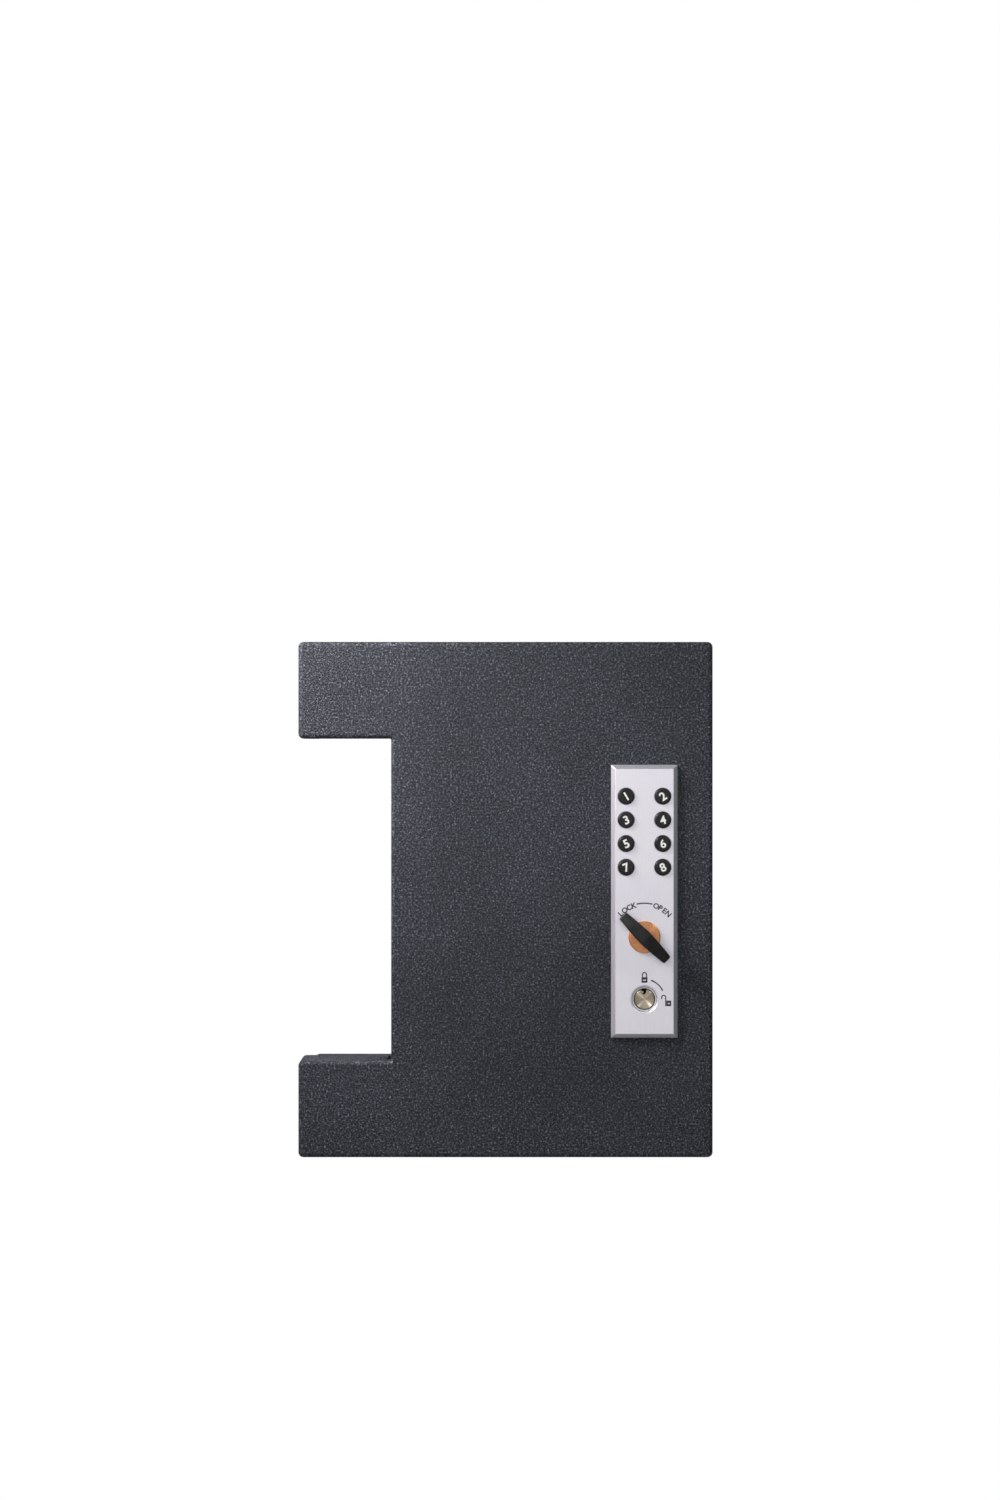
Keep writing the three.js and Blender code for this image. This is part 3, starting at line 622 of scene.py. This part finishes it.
def case_shell():
    """The tray on the wall, which reaches into the door, with its four mounting holes."""
    left_inset, front = CASE_LOW[0] - LEFT, CASE_LOW[1]

    def outline(inset):
        return c_outline(CASE_INSET + inset, left_inset + inset, outer=CORNER + CASE_INSET)

    inside = [ring(outline(SHEET), front), ring(outline(SHEET), -SHEET)]
    outside = [ring(outline(0), front)]
    outside += [ring(outline(inset), y) for inset, y in ((0, -1.2), (0.35, -0.35), (1.2, 0))]
    mesh = as_mesh("case_skin", loft(list(reversed(inside)) + outside))
    cutters = rifle_room()
    cutters += [bar((x, -10, z), (x, 5, z), MOUNT_HOLE, 40) for x, z in MOUNT_HOLES]
    skin = piece("case_skin", cut(mesh, cutters), POWDER, "case", ["body_shell"])
    return soften(skin, 0.35)


door_shell()
case_shell()


# ================================================================ hinges
def hinge_leaf(which, on_door):
    """A leaf with rolled knuckles and four rivets."""
    z = HINGE_Z[which]
    node = f"{which}_hinge_{'door' if on_door else 'case'}_leaf"
    way = -1 if on_door else 1
    plate = (LEFT + 2.3, LEFT + 3.5) if on_door else (LEFT + 5.5, LEFT + 6.7)
    near, far = SEAM + way * SEAM_ROOM, SEAM + way * 18
    bottom, top = z - HINGE_LENGTH / 2, z + HINGE_LENGTH / 2
    bm = block(*plate, *sorted((near, far)), bottom, top)
    pitch = HINGE_LENGTH / KNUCKLES
    for k in range(1 if on_door else 0, KNUCKLES, 2):
        z0 = bottom + k * pitch + KNUCKLE_GAP / 2
        z1 = z0 + pitch - KNUCKLE_GAP
        tube(HINGE_X, SEAM, KNUCKLE_RADIUS, PIN_BORE, z0, z1, bm)
        block(*plate, *sorted((SEAM + way, near + way)), z0, z1, bm)
    face = plate[1] if on_door else plate[0]
    out = 1 if on_door else -1
    for dz in (-16, -5.5, 5.5, 16):
        rivet(face, SEAM + way * 11.5, z + dz, out, bm)
    body = "door" if on_door else "case"
    thing = piece(f"{node}_fine", as_mesh(node, bm), STEEL, body, [node])
    return soften(thing, 0.2)


def circle(x, y, z, radius, sides):
    """Points on a level circle."""
    return [(x + radius * math.cos(a), y + radius * math.sin(a), z) for a in full_turn(sides)]


def tube(x, y, outer, bore, z0, z1, bm, sides=32):
    """A tube along Z."""
    section = [(bore, z0), (outer, z0), (outer, z1), (bore, z1)]
    rings = [circle(x, y, z, radius, sides) for radius, z in section]
    rows = [[bm.verts.new(Vector(p) * MM) for p in points] for points in rings]
    made = []
    for a, b in zip(rows, rows[1:] + rows[:1]):
        for i in range(sides):
            j = (i + 1) % sides
            made.append(bm.faces.new((a[i], a[j], b[j], b[i])))
    bmesh.ops.recalc_face_normals(bm, faces=made)


def rivet(x, y, z, out, bm, radius=1.7, height=0.25, sides=20):
    """A low domed rivet head on a face across X."""
    rings = []
    for share, rise in ((1, 0), (0.94, 0.55), (0.7, 0.85), (0.35, 1)):
        reach, top = radius * share, x + out * height * rise
        rings.append([
            (top, y + reach * math.cos(a), z + reach * math.sin(a)) for a in full_turn(sides)
        ])
    loft(rings, bm)


def hinge_pin(which):
    """A pin with chamfered ends, a little longer than the knuckles."""
    node = f"{which}_hinge_pin"
    bottom = box_mm(node)[0][2]
    top = bottom + HINGE_LENGTH + 1.2
    end = PIN_RADIUS - PIN_CHAMFER
    section = [
        (end, bottom), (PIN_RADIUS, bottom + PIN_CHAMFER),
        (PIN_RADIUS, top - PIN_CHAMFER), (end, top),
    ]
    rings = [circle(HINGE_X, SEAM, z, radius, 24) for radius, z in section]
    piece(f"{node}_fine", as_mesh(node, loft(rings)), STEEL, "case", [node])


for which in HINGE_Z:
    hinge_leaf(which, on_door=False)
    hinge_leaf(which, on_door=True)
    hinge_pin(which)


# ================================================================ foam lining
CREST_PITCH = 15  # from one crest of the egg-crate foam to the next
CREST_HEIGHT = 3.2
CELLS_PER_CREST = 8


def egg_crate(x0, x1, z0, z1, y_glued, y_crest):
    """A block over a rectangle. One side is flat and the other swells into rows of soft crests."""
    inwards = CREST_HEIGHT if y_glued > y_crest else -CREST_HEIGHT
    step = CREST_PITCH / CELLS_PER_CREST
    columns = math.ceil((x1 - x0) / step)
    rows = math.ceil((z1 - z0) / step)
    bm = bmesh.new()
    top, bottom = [], []
    for i in range(columns + 1):
        for j in range(rows + 1):
            x, z = x0 + i * step, z0 + j * step
            wave = math.cos(2 * math.pi * x / CREST_PITCH) * math.cos(2 * math.pi * z / CREST_PITCH)
            y = y_crest + inwards * (1 - wave) / 2
            top.append(bm.verts.new(Vector((x, y, z)) * MM))
            bottom.append(bm.verts.new(Vector((x, y_glued, z)) * MM))

    def at(i, j):
        return i * (rows + 1) + j

    edge = [(i, 0) for i in range(columns)] + [(columns, j) for j in range(rows)]
    edge += [(i, rows) for i in range(columns, 0, -1)] + [(0, j) for j in range(rows, 0, -1)]
    for i in range(columns):
        for j in range(rows):
            cell = [at(i, j), at(i + 1, j), at(i + 1, j + 1), at(i, j + 1)]
            bm.faces.new([top[k] for k in cell])
            bm.faces.new([bottom[k] for k in reversed(cell)])
    for here, there in zip(edge, edge[1:] + edge[:1]):
        a, b = at(*here), at(*there)
        bm.faces.new((top[b], top[a], bottom[a], bottom[b]))
    bmesh.ops.recalc_face_normals(bm, faces=bm.faces)
    return bm


def foam_pad(name, node, body, outline_at, front, cutters=()):
    """A pad of egg-crate foam glued in a shell. front is -1 if its crests point to the front."""
    low, high = box_mm(node)
    pad = as_mesh(name, rounded_slab(outline_at, high[1], low[1], 1.6, 5), sharp=50)
    glued, crests = (high[1], low[1]) if front == -1 else (low[1], high[1])
    spare = 3
    across, upwards = (low[0] - spare, high[0] + spare), (low[2] - spare, high[2] + spare)
    waves = egg_crate(*across, *upwards, glued - front * spare, crests)
    mesh = combined(pad, [waves], "INTERSECT", 50)
    if cutters:
        mesh = cut(mesh, cutters, 50)
    thing = piece(name, mesh, FOAM, body, [node])
    return thing


FOAM_EDGE = 9  # from the door's outline to the foam
FOAM_CORNER = 13
FOAM_HOLE = 12  # radius of the room round a mounting screw
DOOR_FOAM_RIGHT = box_mm("door_foam")[1][0]  # the door's foam stops beside the lock


def case_foam_outline(inset):
    return c_outline(FOAM_EDGE + inset, FOAM_EDGE + 3 + inset, outer=FOAM_CORNER)


def door_foam_outline(inset):
    return c_outline(FOAM_EDGE + inset, right=DOOR_FOAM_RIGHT - inset, outer=FOAM_CORNER)


case_foam_gaps = [bar((x, -20, z), (x, 5, z), FOAM_HOLE, 40) for x, z in sorted(MOUNT_HOLES)]
case_foam_gaps.append(block(108, RIGHT, -20, 0, KNOB_Z - 36, KNOB_Z + 18))
foam_pad("case_lining", "body_foam", "case", case_foam_outline, -1, case_foam_gaps)
foam_pad("door_lining", "door_foam", "door", door_foam_outline, 1)


# ================================================================ lock: face
def faceplate():
    """The plate with its four bevelled sides, its button holes and the recess round the key."""
    x0, x1, z0, z1 = PLATE_LOW[0], PLATE_HIGH[0], PLATE_LOW[2], PLATE_HIGH[2]
    back = PLATE_HIGH[1]
    bevel_width, bevel_depth = 2.9, 3.5

    def outline(inset, radius):
        return rectangle(x0 + inset, x1 - inset, z0 + inset, z1 - inset, radius)

    rings = [
        ring(outline(0, 0.5), back),
        ring(outline(0, 0.5), PLATE_FRONT + bevel_depth + 0.1),
        ring(outline(0.15, 0.45), PLATE_FRONT + bevel_depth - 0.15),
        ring(outline(bevel_width - 0.2, 0.3), PLATE_FRONT + 0.12),
        ring(outline(bevel_width + 0.1, 0.25), PLATE_FRONT),
    ]
    mesh = as_mesh("lock_plate", loft(rings), sharp=25)
    narrowed = BUTTON_HOLE - 0.25
    spindle_hole = 4.5
    recess, bore = 9.7, 8.7
    cutters = []
    for name in BUTTONS:
        cutters.append(lathe(*centre_mm(name), [
            (0, PLATE_FRONT - 1), (BUTTON_HOLE, PLATE_FRONT - 1), (BUTTON_HOLE, PLATE_FRONT),
            (narrowed, PLATE_FRONT + 0.25), (narrowed, back + 1), (0, back + 1),
        ]))
    cutters.append(
        bar((KNOB_X, PLATE_FRONT - 2, KNOB_Z), (KNOB_X, back + 2, KNOB_Z), spindle_hole, 40),
    )
    cutters.append(lathe(KNOB_X, KEY_Z, [
        (0, PLATE_FRONT - 1), (recess, PLATE_FRONT - 1), (recess, PLATE_FRONT),
        (recess - 0.3, PLATE_FRONT + 0.55), (bore + 0.1, PLATE_FRONT + 0.6),
        (bore, PLATE_FRONT + 0.7), (bore, back + 1), (0, back + 1),
    ], 64))
    plate = piece("lock_plate", cut(mesh, cutters, 12), ALUMINIUM, "door", ["faceplate"])
    return flat_stays_flat(plate)


faceplate()


def arc_points(radius, start, end, steps):
    """Points on an arc round the knob or the key; angles run clockwise from the top."""
    return [
        (radius * math.sin(math.radians(start + (end - start) * k / steps)),
         radius * math.cos(math.radians(start + (end - start) * k / steps)))
        for k in range(steps + 1)
    ]


PRINT = 0.06  # thickness of the printed legends


def printed(name, outlines, holes=()):
    """Flat printed shapes on the plate, with holes where the metal shows through."""
    bm = bmesh.new()
    for outline in outlines:
        loft([ring(outline, PLATE_FRONT + 0.02), ring(outline, PLATE_FRONT - PRINT)], bm)
    mesh = as_mesh(name, bm)
    cutters = [loft([ring(hole, PLATE_FRONT - 1), ring(hole, PLATE_FRONT + 1)]) for hole in holes]
    if cutters:
        mesh = cut(mesh, cutters)
    return piece(name, mesh, LEGEND, "door")


def arc_band(x, z, radius, width, start, end, steps=24):
    """A line of one width along an arc."""
    outer = arc_points(radius + width / 2, start, end, steps)
    inner = arc_points(radius - width / 2, start, end, steps)
    return [(x + a, z + b) for a, b in outer + inner[::-1]]


def arrow_head(x, z, radius, angle, way, length=1.6, half=0.75):
    """A small triangle on an arc that points clockwise if way is 1."""
    reach = math.degrees(length / radius) * way
    tip = arc_points(radius, angle + reach, angle + reach, 1)[0]
    out = arc_points(radius + half, angle, angle, 1)[0]
    inn = arc_points(radius - half, angle, angle, 1)[0]
    return [(x + a, z + b) for a, b in (tip, out, inn)]


def lettering(name, text, height, x, y, z, turn, material, body, depth, weight=0.0):
    """Flat letters that face the front. turn is counter-clockwise, in degrees."""
    curve = bpy.data.curves.new(name, "FONT")
    curve.body = text
    curve.align_x = "CENTER"
    curve.align_y = "CENTER"
    curve.offset = weight
    curve.resolution_u = 6
    source = bpy.data.objects.new(name, curve)
    bpy.context.collection.objects.link(source)
    depsgraph = bpy.context.evaluated_depsgraph_get()
    mesh = bpy.data.meshes.new_from_object(source.evaluated_get(depsgraph))
    bpy.data.objects.remove(source)
    bpy.data.curves.remove(curve)
    xs = [v.co.x for v in mesh.vertices]
    ys = [v.co.y for v in mesh.vertices]
    middle = Vector(((min(xs) + max(xs)) / 2, (min(ys) + max(ys)) / 2, 0))
    scale = height / (max(ys) - min(ys))
    bm = bmesh.new()
    bm.from_mesh(mesh)
    bpy.data.meshes.remove(mesh)
    bmesh.ops.remove_doubles(bm, verts=bm.verts, dist=1e-5)
    grown = bmesh.ops.extrude_face_region(bm, geom=list(bm.faces))
    moved = [v for v in grown["geom"] if isinstance(v, bmesh.types.BMVert)]
    bmesh.ops.translate(bm, verts=moved, vec=(0, 0, depth / scale))
    bmesh.ops.recalc_face_normals(bm, faces=bm.faces)
    place = (
        Matrix.Translation(Vector((x, y, z)) * MM)
        @ Matrix.Rotation(math.pi / 2, 4, "X")
        @ Matrix.Rotation(math.radians(turn), 4, "Z")
        @ Matrix.Scale(scale * MM, 4)
        @ Matrix.Translation(-middle)
    )
    bmesh.ops.transform(bm, matrix=place, verts=bm.verts)
    return piece(name, as_mesh(name, bm), material, body)


def curved_word(word, first, last, radius, height):
    """A word set round the knob, from one clock angle to another."""
    for i, letter in enumerate(word):
        angle = first + (last - first) * i / (len(word) - 1)
        x, z = arc_points(radius, angle, angle, 1)[0]
        lettering(
            f"legend_{word.lower()}_{i + 1}", letter, height,
            KNOB_X + x, PLATE_FRONT + 0.02, KNOB_Z + z, -angle,
            LEGEND, "door", PRINT + 0.02, weight=0.028,
        )


KNOB_ARC = 23.4
KEY_ARC = 13.8
ARC_WIDTH = 0.85
LETTER_HEIGHT = 3.8
curved_word("LOCK", -45.3, -18.4, 23.0, LETTER_HEIGHT)
curved_word("OPEN", 20.5, 45.5, 22.9, LETTER_HEIGHT)
printed("legend_knob_arc", [
    arc_band(KNOB_X, KNOB_Z, KNOB_ARC, ARC_WIDTH, -10.4, 10.4),
    arrow_head(KNOB_X, KNOB_Z, KNOB_ARC, -10.5, -1),
    arrow_head(KNOB_X, KNOB_Z, KNOB_ARC, 10.5, 1),
])
printed("legend_key_arc", [
    arc_band(KNOB_X, KEY_Z, KEY_ARC, ARC_WIDTH, 24.2, 59.8),
    arrow_head(KNOB_X, KEY_Z, KEY_ARC, 24, -1),
    arrow_head(KNOB_X, KEY_Z, KEY_ARC, 60, 1),
])


def shackle(x, z, radius, width, leg_left, leg_right, steps=12):
    """A half ring with two legs, open at the bottom."""
    outer = [(x + a, z + b) for a, b in arc_points(radius + width / 2, -90, 90, steps)]
    inner = [(x + a, z + b) for a, b in arc_points(radius - width / 2, 90, -90, steps)]
    wide, narrow = radius + width / 2, radius - width / 2
    right_foot = [(x + wide, z - leg_right), (x + narrow, z - leg_right)]
    left_foot = [(x - narrow, z - leg_left)]
    return [(x - wide, z - leg_left)] + outer + right_foot + inner + left_foot


def padlock(name, x, z, half, shackle_x, rise, left_leg, right_leg):
    """A small padlock: a square body with a pale window, and a shackle that rises above it."""
    printed(name, [
        rectangle(x - half, x + half, z - 1.9, z + 1.9, 0.4),
        shackle(shackle_x, z + rise, 1.4, 0.75, left_leg, right_leg),
    ], [rectangle(x - half + 0.9, x + half - 0.9, z - 0.45, z + 0.25, 0.1)])


padlock("legend_locked", KNOB_X, KEY_Z + 13.3, 2.05, KNOB_X, 3.7, 1.75, 1.75)
padlock("legend_unlocked", KNOB_X + 16.7, KEY_Z - 2.8, 1.65, KNOB_X + 13.2, 4.1, 1.1, 6.0)


# ================================================================ lock: buttons
DIGIT_TURN = [31, 33, 22, 15, 25, 18, 22, 25]  # how far each number leans, in degrees
DIGIT_HEIGHT = 6.0
CAP_RADIUS = 5.35
STEM_RADIUS = 2.5
COLLAR_RADIUS = 4.4


def button(index):
    """A glossy cap with a rounded rim and its painted number, on a stem with a collar."""
    name = BUTTONS[index]
    low, high = box_mm(name)
    x, z = centre_mm(name)
    face, end = low[1], high[1]
    rim = 0.8
    collar = box_mm("lock_case")[0][1] + 1.8
    profile = [(0, face), (CAP_RADIUS - 1.5, face + 0.02)]
    for k in range(7):
        angle = math.pi / 2 * k / 6
        radius = CAP_RADIUS - rim + rim * math.sin(angle)
        profile.append((radius, face + rim - rim * math.cos(angle) + 0.02))
    profile += [
        (CAP_RADIUS, face + 4.6), (CAP_RADIUS - 0.3, face + 5), (STEM_RADIUS, face + 5),
        (STEM_RADIUS, collar), (COLLAR_RADIUS, collar), (COLLAR_RADIUS, collar + 1.5),
        (STEM_RADIUS, collar + 1.5), (STEM_RADIUS, end - 0.4), (STEM_RADIUS - 0.4, end), (0, end),
    ]
    body = f"push_{index + 1}"
    mesh = as_mesh(name, lathe(x, z, profile))
    piece(f"cap_{index + 1}", mesh, BLACK, body, [name])
    lettering(
        f"digit_{index + 1}", str(index + 1), DIGIT_HEIGHT, x, face + 0.03, z, DIGIT_TURN[index],
        DIGIT, body, 0.07, weight=0.025,
    )


def button_spring(index):
    """A return spring with its end coils closed, built at rest; in the lock a pressed button squeezes
    it.
    """
    node = f"button_spring_{index + 1}"
    low, high = box_mm(node)
    x, z = centre_mm(node)
    wire = 0.4
    coil_radius = 3.55
    back, front = high[1] - wire, low[1] + wire
    coils = 5
    count = coils * 20
    points = []
    for k in range(count + 1):
        share = k / count
        angle = 2 * math.pi * coils * share
        climb = min(max((share * coils - 0.8) / (coils - 1.6), 0), 1)
        depth = back - (back - front) * (0.06 * share + 0.94 * climb)
        points.append((x + coil_radius * math.cos(angle), depth, z + coil_radius * math.sin(angle)))
    mesh = as_mesh(node, sweep(points, wire))
    thing = piece(f"coil_{index + 1}", mesh, SPRING, "door", [node])
    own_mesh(thing)


for index in range(8):
    button(index)
for index in range(8):
    button_spring(index)


# ================================================================ lock: knob, disc and key
def knob():
    """A boat-shaped lever that points up and to the left. Its top falls towards both ends."""
    low, high = box_mm("knob")
    back, front = high[1], low[1]
    half = 21.5
    half_width, taper = 4.8, 1.6
    crown_fall, foot_rise = 5.2, 1.2
    round_end = 0.9
    rows = 36
    rings = []
    for i in range(rows + 1):
        along = -1 + 2 * i / rows
        reach = math.copysign(1 - (1 - abs(along)) ** 1.8, along) * half
        share = abs(reach) / half
        width = half_width - taper * share ** 1.6
        into_end = max(abs(reach) - (half - round_end), 0) / round_end
        width -= round_end * (1 - math.sqrt(max(1 - into_end ** 2, 0)))
        crown = front + crown_fall * share ** 1.2
        foot = back - foot_rise * share ** 2
        rings.append((reach, width, foot, crown))
    turn = math.radians(45)

    def place(u, w, y):
        """u runs along the lever towards LOCK, and w across it."""
        x = -u * math.sin(turn) + w * math.cos(turn)
        z = u * math.cos(turn) + w * math.sin(turn)
        return (KNOB_X + x, y, KNOB_Z + z)

    sections = []
    for reach, width, foot, crown in rings:
        edge = min(0.9, width * 0.45)
        section = []
        for side in (1, -1):
            corner = []
            for k in range(6):
                angle = math.pi / 2 * k / 5
                inset = edge * (1 - math.cos(angle))
                drop = edge * (1 - math.sin(angle))
                corner.append(place(reach, side * (width - inset), crown + drop))
            wall = [place(reach, side * width, crown + edge + (foot - crown - edge) * 0.5)]
            base = [place(reach, side * width, foot)]
            run = base + wall + corner
            section += run if side == 1 else run[::-1]
        sections.append(section)
    mesh = as_mesh("lever", loft(sections), sharp=50)
    mesh = cut(mesh, [bar((KNOB_X, back - 7, KNOB_Z), (KNOB_X, back + 2, KNOB_Z), 4.3, 32)])
    return piece("lever", mesh, BLACK, "knob", ["knob"])


def knob_disc():
    """The copper disc, with a ribbed rim and fine rings turned in its face."""
    low, high = box_mm("knob_disc")
    back, face = high[1], low[1]
    rim = 11.1
    sides = 144
    profile = [
        (4.5, back), (rim, back), (rim, face + 0.75), (rim - 0.45, face + 0.2), (rim - 1.0, face),
    ]
    radius = rim - 1.6
    while radius > 6:
        profile += [(radius, face + 0.01), (radius - 0.35, face + 0.09), (radius - 0.7, face + 0.01)]
        radius -= 1.4
    profile += [(5.0, face), (4.5, face + 0.3)]
    bm = lathe(KNOB_X, KNOB_Z, profile, sides)
    for vertex in bm.verts:
        x, z = vertex.co.x / MM - KNOB_X, vertex.co.z / MM - KNOB_Z
        distance = math.hypot(x, z)
        if distance > rim - 0.5:
            rib = round(math.atan2(z, x) / (2 * math.pi / sides)) % 2
            shrink = 1 - 0.012 * rib
            vertex.co.x = (KNOB_X + x * shrink) * MM
            vertex.co.z = (KNOB_Z + z * shrink) * MM
    mesh = as_mesh("copper_rose", bm)
    return piece("copper_rose", mesh, COPPER, "door", ["knob_disc"])


def key_lock():
    """The cylinder's rim and the plug with its dished face and crooked keyway, whose depth holds
    near-black blocks of painted shade.
    """
    low, high = box_mm("key_cylinder")
    face, back = low[1], high[1]
    bore, outer = 7.4, 8.4
    cylinder = lathe(KNOB_X, KEY_Z, [
        (bore, back), (outer, back), (outer, face + 0.08), (outer - 0.1, face),
        (bore + 0.1, face + 0.05), (bore, face + 0.2),
    ], 64)
    piece("cylinder_fine", as_mesh("cylinder", cylinder), NICKEL, "door", ["key_cylinder"])
    low, high = box_mm("key_plug")
    face, back = low[1], high[1]
    plug = lathe(KNOB_X, KEY_Z, [
        (0, face + 0.9), (6.2, face + 0.08), (6.5, face), (6.75, face + 0.12), (6.85, face + 0.45),
        (6.85, back - 4.5), (3, back - 4.5), (3, back), (0, back),
    ], 72)
    mesh = as_mesh("plug", plug, sharp=50)
    # left, right, bottom and top of each part of the keyway, from the plug's middle
    keyway = [(-2.0, 1.3, 5.5, 8.0), (-0.6, 1.3, 4.3, 5.7), (-1.2, 0.5, 3.3, 4.5)]
    slots = [
        block(KNOB_X + x0, KNOB_X + x1, face - 2, face + 12, KEY_Z + z0, KEY_Z + z1)
        for x0, x1, z0, z1 in keyway
    ]
    piece("plug_fine", cut(mesh, slots), TURNED_BRASS, "key_plug", ["key_plug"])
    # Blocks sunk in the keyway, where the real lock has its wards; their near-black steel is painted
    # shade that keeps the keyway's depth dark
    highest = 6.6
    for i, (x0, x1, z0, z1) in enumerate(keyway, start=1):
        sunk = 1.2 + 0.1 * i
        top = KEY_Z + min(z1, highest)
        shade_block = block(KNOB_X + x0, KNOB_X + x1, face + sunk, face + 11, KEY_Z + z0, top)
        piece(f"keyway_shade_block_{i}", as_mesh("shade_block", shade_block), KEYWAY_SHADE_STEEL, "key_plug")


knob()
knob_disc()
key_lock()


# ================================================================ screws
def slotted_screw(node, body):
    """A pan-head screw seen from inside the box, with a slot and a rounded head."""
    low, high = box_mm(node)
    x, z = centre_mm(node)
    faces_back = node.startswith("lock_screw")
    top, end = (high[1], low[1]) if faces_back else (low[1], high[1])
    out = 1 if faces_back else -1
    head, shank = 3.6, 2
    under = top - 2 * out
    profile = [(0, top)]
    for k in range(6):
        angle = math.pi / 2 * k / 5
        radius = head * math.sin(angle) if k else 1.2
        profile.append((radius, top - out * 1.6 * (1 - math.cos(angle)) ** 1.3))
    profile += [(head, under), (shank, under), (shank, end + 0.5 * out), (shank - 0.4, end), (0, end)]
    mesh = as_mesh(node, lathe(x, z, profile, 40))
    slot = block(x - 5, x + 5, *sorted((top - out, top + out)), z - 0.4, z + 0.4)
    return piece(f"{node}_fine", cut(mesh, [slot]), ZINC, body, [node])


for i in range(1, 5):
    slotted_screw(f"lock_screw_{i}", "door")
for i in range(1, 3):
    slotted_screw(f"strike_screw_{i}", "case")

# ================================================================ carried-over CAD nodes
for node in ("lock_case", "lock_case_cover", "latch_bolt", "knob_spindle", "strike_bracket"):
    carried_over(node, STEEL, 0.3)
for node in ("stem_guide", "bolt_guide", "key_cam", "override_slide"):
    carried_over(node, ZINC, 0.2)
carried_over("code_plate", PLAIN_ALUMINIUM, 0.2)
carried_over("key_nut", BRASS, 0.3)


# ================================================================ floor, light and camera
def floor():
    """A plain pale floor well below the box."""
    bm = bmesh.new()
    half, behind, height = 2.2, 1.1, -0.72
    corners = [(-half, -half), (half, -half), (half, behind), (-half, behind)]
    bm.faces.new([bm.verts.new((x, y, height)) for x, y in corners])
    mesh = bpy.data.meshes.new("floor")
    bm.to_mesh(mesh)
    bm.free()
    nodes = Nodes("pale_floor", Roughness=0.8, Emission_Color=(1, 1, 1, 1))
    seen = nodes.add("ShaderNodeLightPath").outputs["Is Camera Ray"]
    nodes.link(nodes.span(seen, 0, 0.5, 0, 1), nodes.shader.inputs["Emission Strength"])
    nodes.colour(nodes.ramp(nodes.noise(3), [(0.3, (0.7, 0.7, 0.7)), (0.7, (0.74, 0.74, 0.74))]))
    mesh.materials.append(nodes.material)
    thing = bpy.data.objects.new("floor", mesh)
    bpy.context.collection.objects.link(thing)


def area_light(name, place, aim, size, power):
    """A round lamp at a place, aimed at another; its size is in metres and its power in watts."""
    light = bpy.data.lights.new(name, "AREA")
    light.shape = "DISK"
    light.size = size
    light.energy = power
    thing = bpy.data.objects.new(name, light)
    thing.location = place
    thing.rotation_mode = "QUATERNION"
    thing.rotation_quaternion = (Vector(aim) - Vector(place)).to_track_quat("-Z", "Y")
    thing.visible_camera = False
    bpy.context.collection.objects.link(thing)


def world():
    """White to the camera, and dimmer as a light so that the lamps give the shading."""
    scene_world = bpy.data.worlds.new("studio")
    scene_world.use_nodes = True
    tree = scene_world.node_tree
    background = tree.nodes["Background"]
    path = tree.nodes.new("ShaderNodeLightPath")
    strength = tree.nodes.new("ShaderNodeMapRange")
    strength.inputs["To Min"].default_value = 0.15
    strength.inputs["To Max"].default_value = 1.0
    tree.links.new(path.outputs["Is Camera Ray"], strength.inputs["Value"])
    tree.links.new(strength.outputs["Result"], background.inputs["Strength"])
    background.inputs["Color"].default_value = (1, 1, 1, 1)
    bpy.context.scene.world = scene_world


def camera():
    """Square on to the front, a little above the box, as the picture was taken."""
    distance = 2.4
    view_height = 1.0338
    across, up = -0.0038, 0.1032
    data = bpy.data.cameras.new("camera")
    data.sensor_width = 36
    data.lens = data.sensor_width * distance / view_height
    thing = bpy.data.objects.new("camera", data)
    thing.location = (across, FRONT * MM - distance, up)
    thing.rotation_euler = (math.pi / 2, 0, 0)
    bpy.context.collection.objects.link(thing)
    bpy.context.scene.camera = thing


floor()
area_light("key", (-0.36, -0.31, 0.37), (-0.08, -0.09, 0.06), 0.26, 6.2)
area_light("front", (-0.1, -3.3, 0.35), (0, 0, 0), 2.0, 12)
area_light("right", (0.62, -0.6, 0.46), (0.1, -0.09, -0.05), 0.14, 1.5)
area_light("rear", (0.8, 2.2, 1.6), (0, 0, 0), 1.2, 14)
world()
camera()
bpy.context.scene.view_settings.view_transform = "Standard"
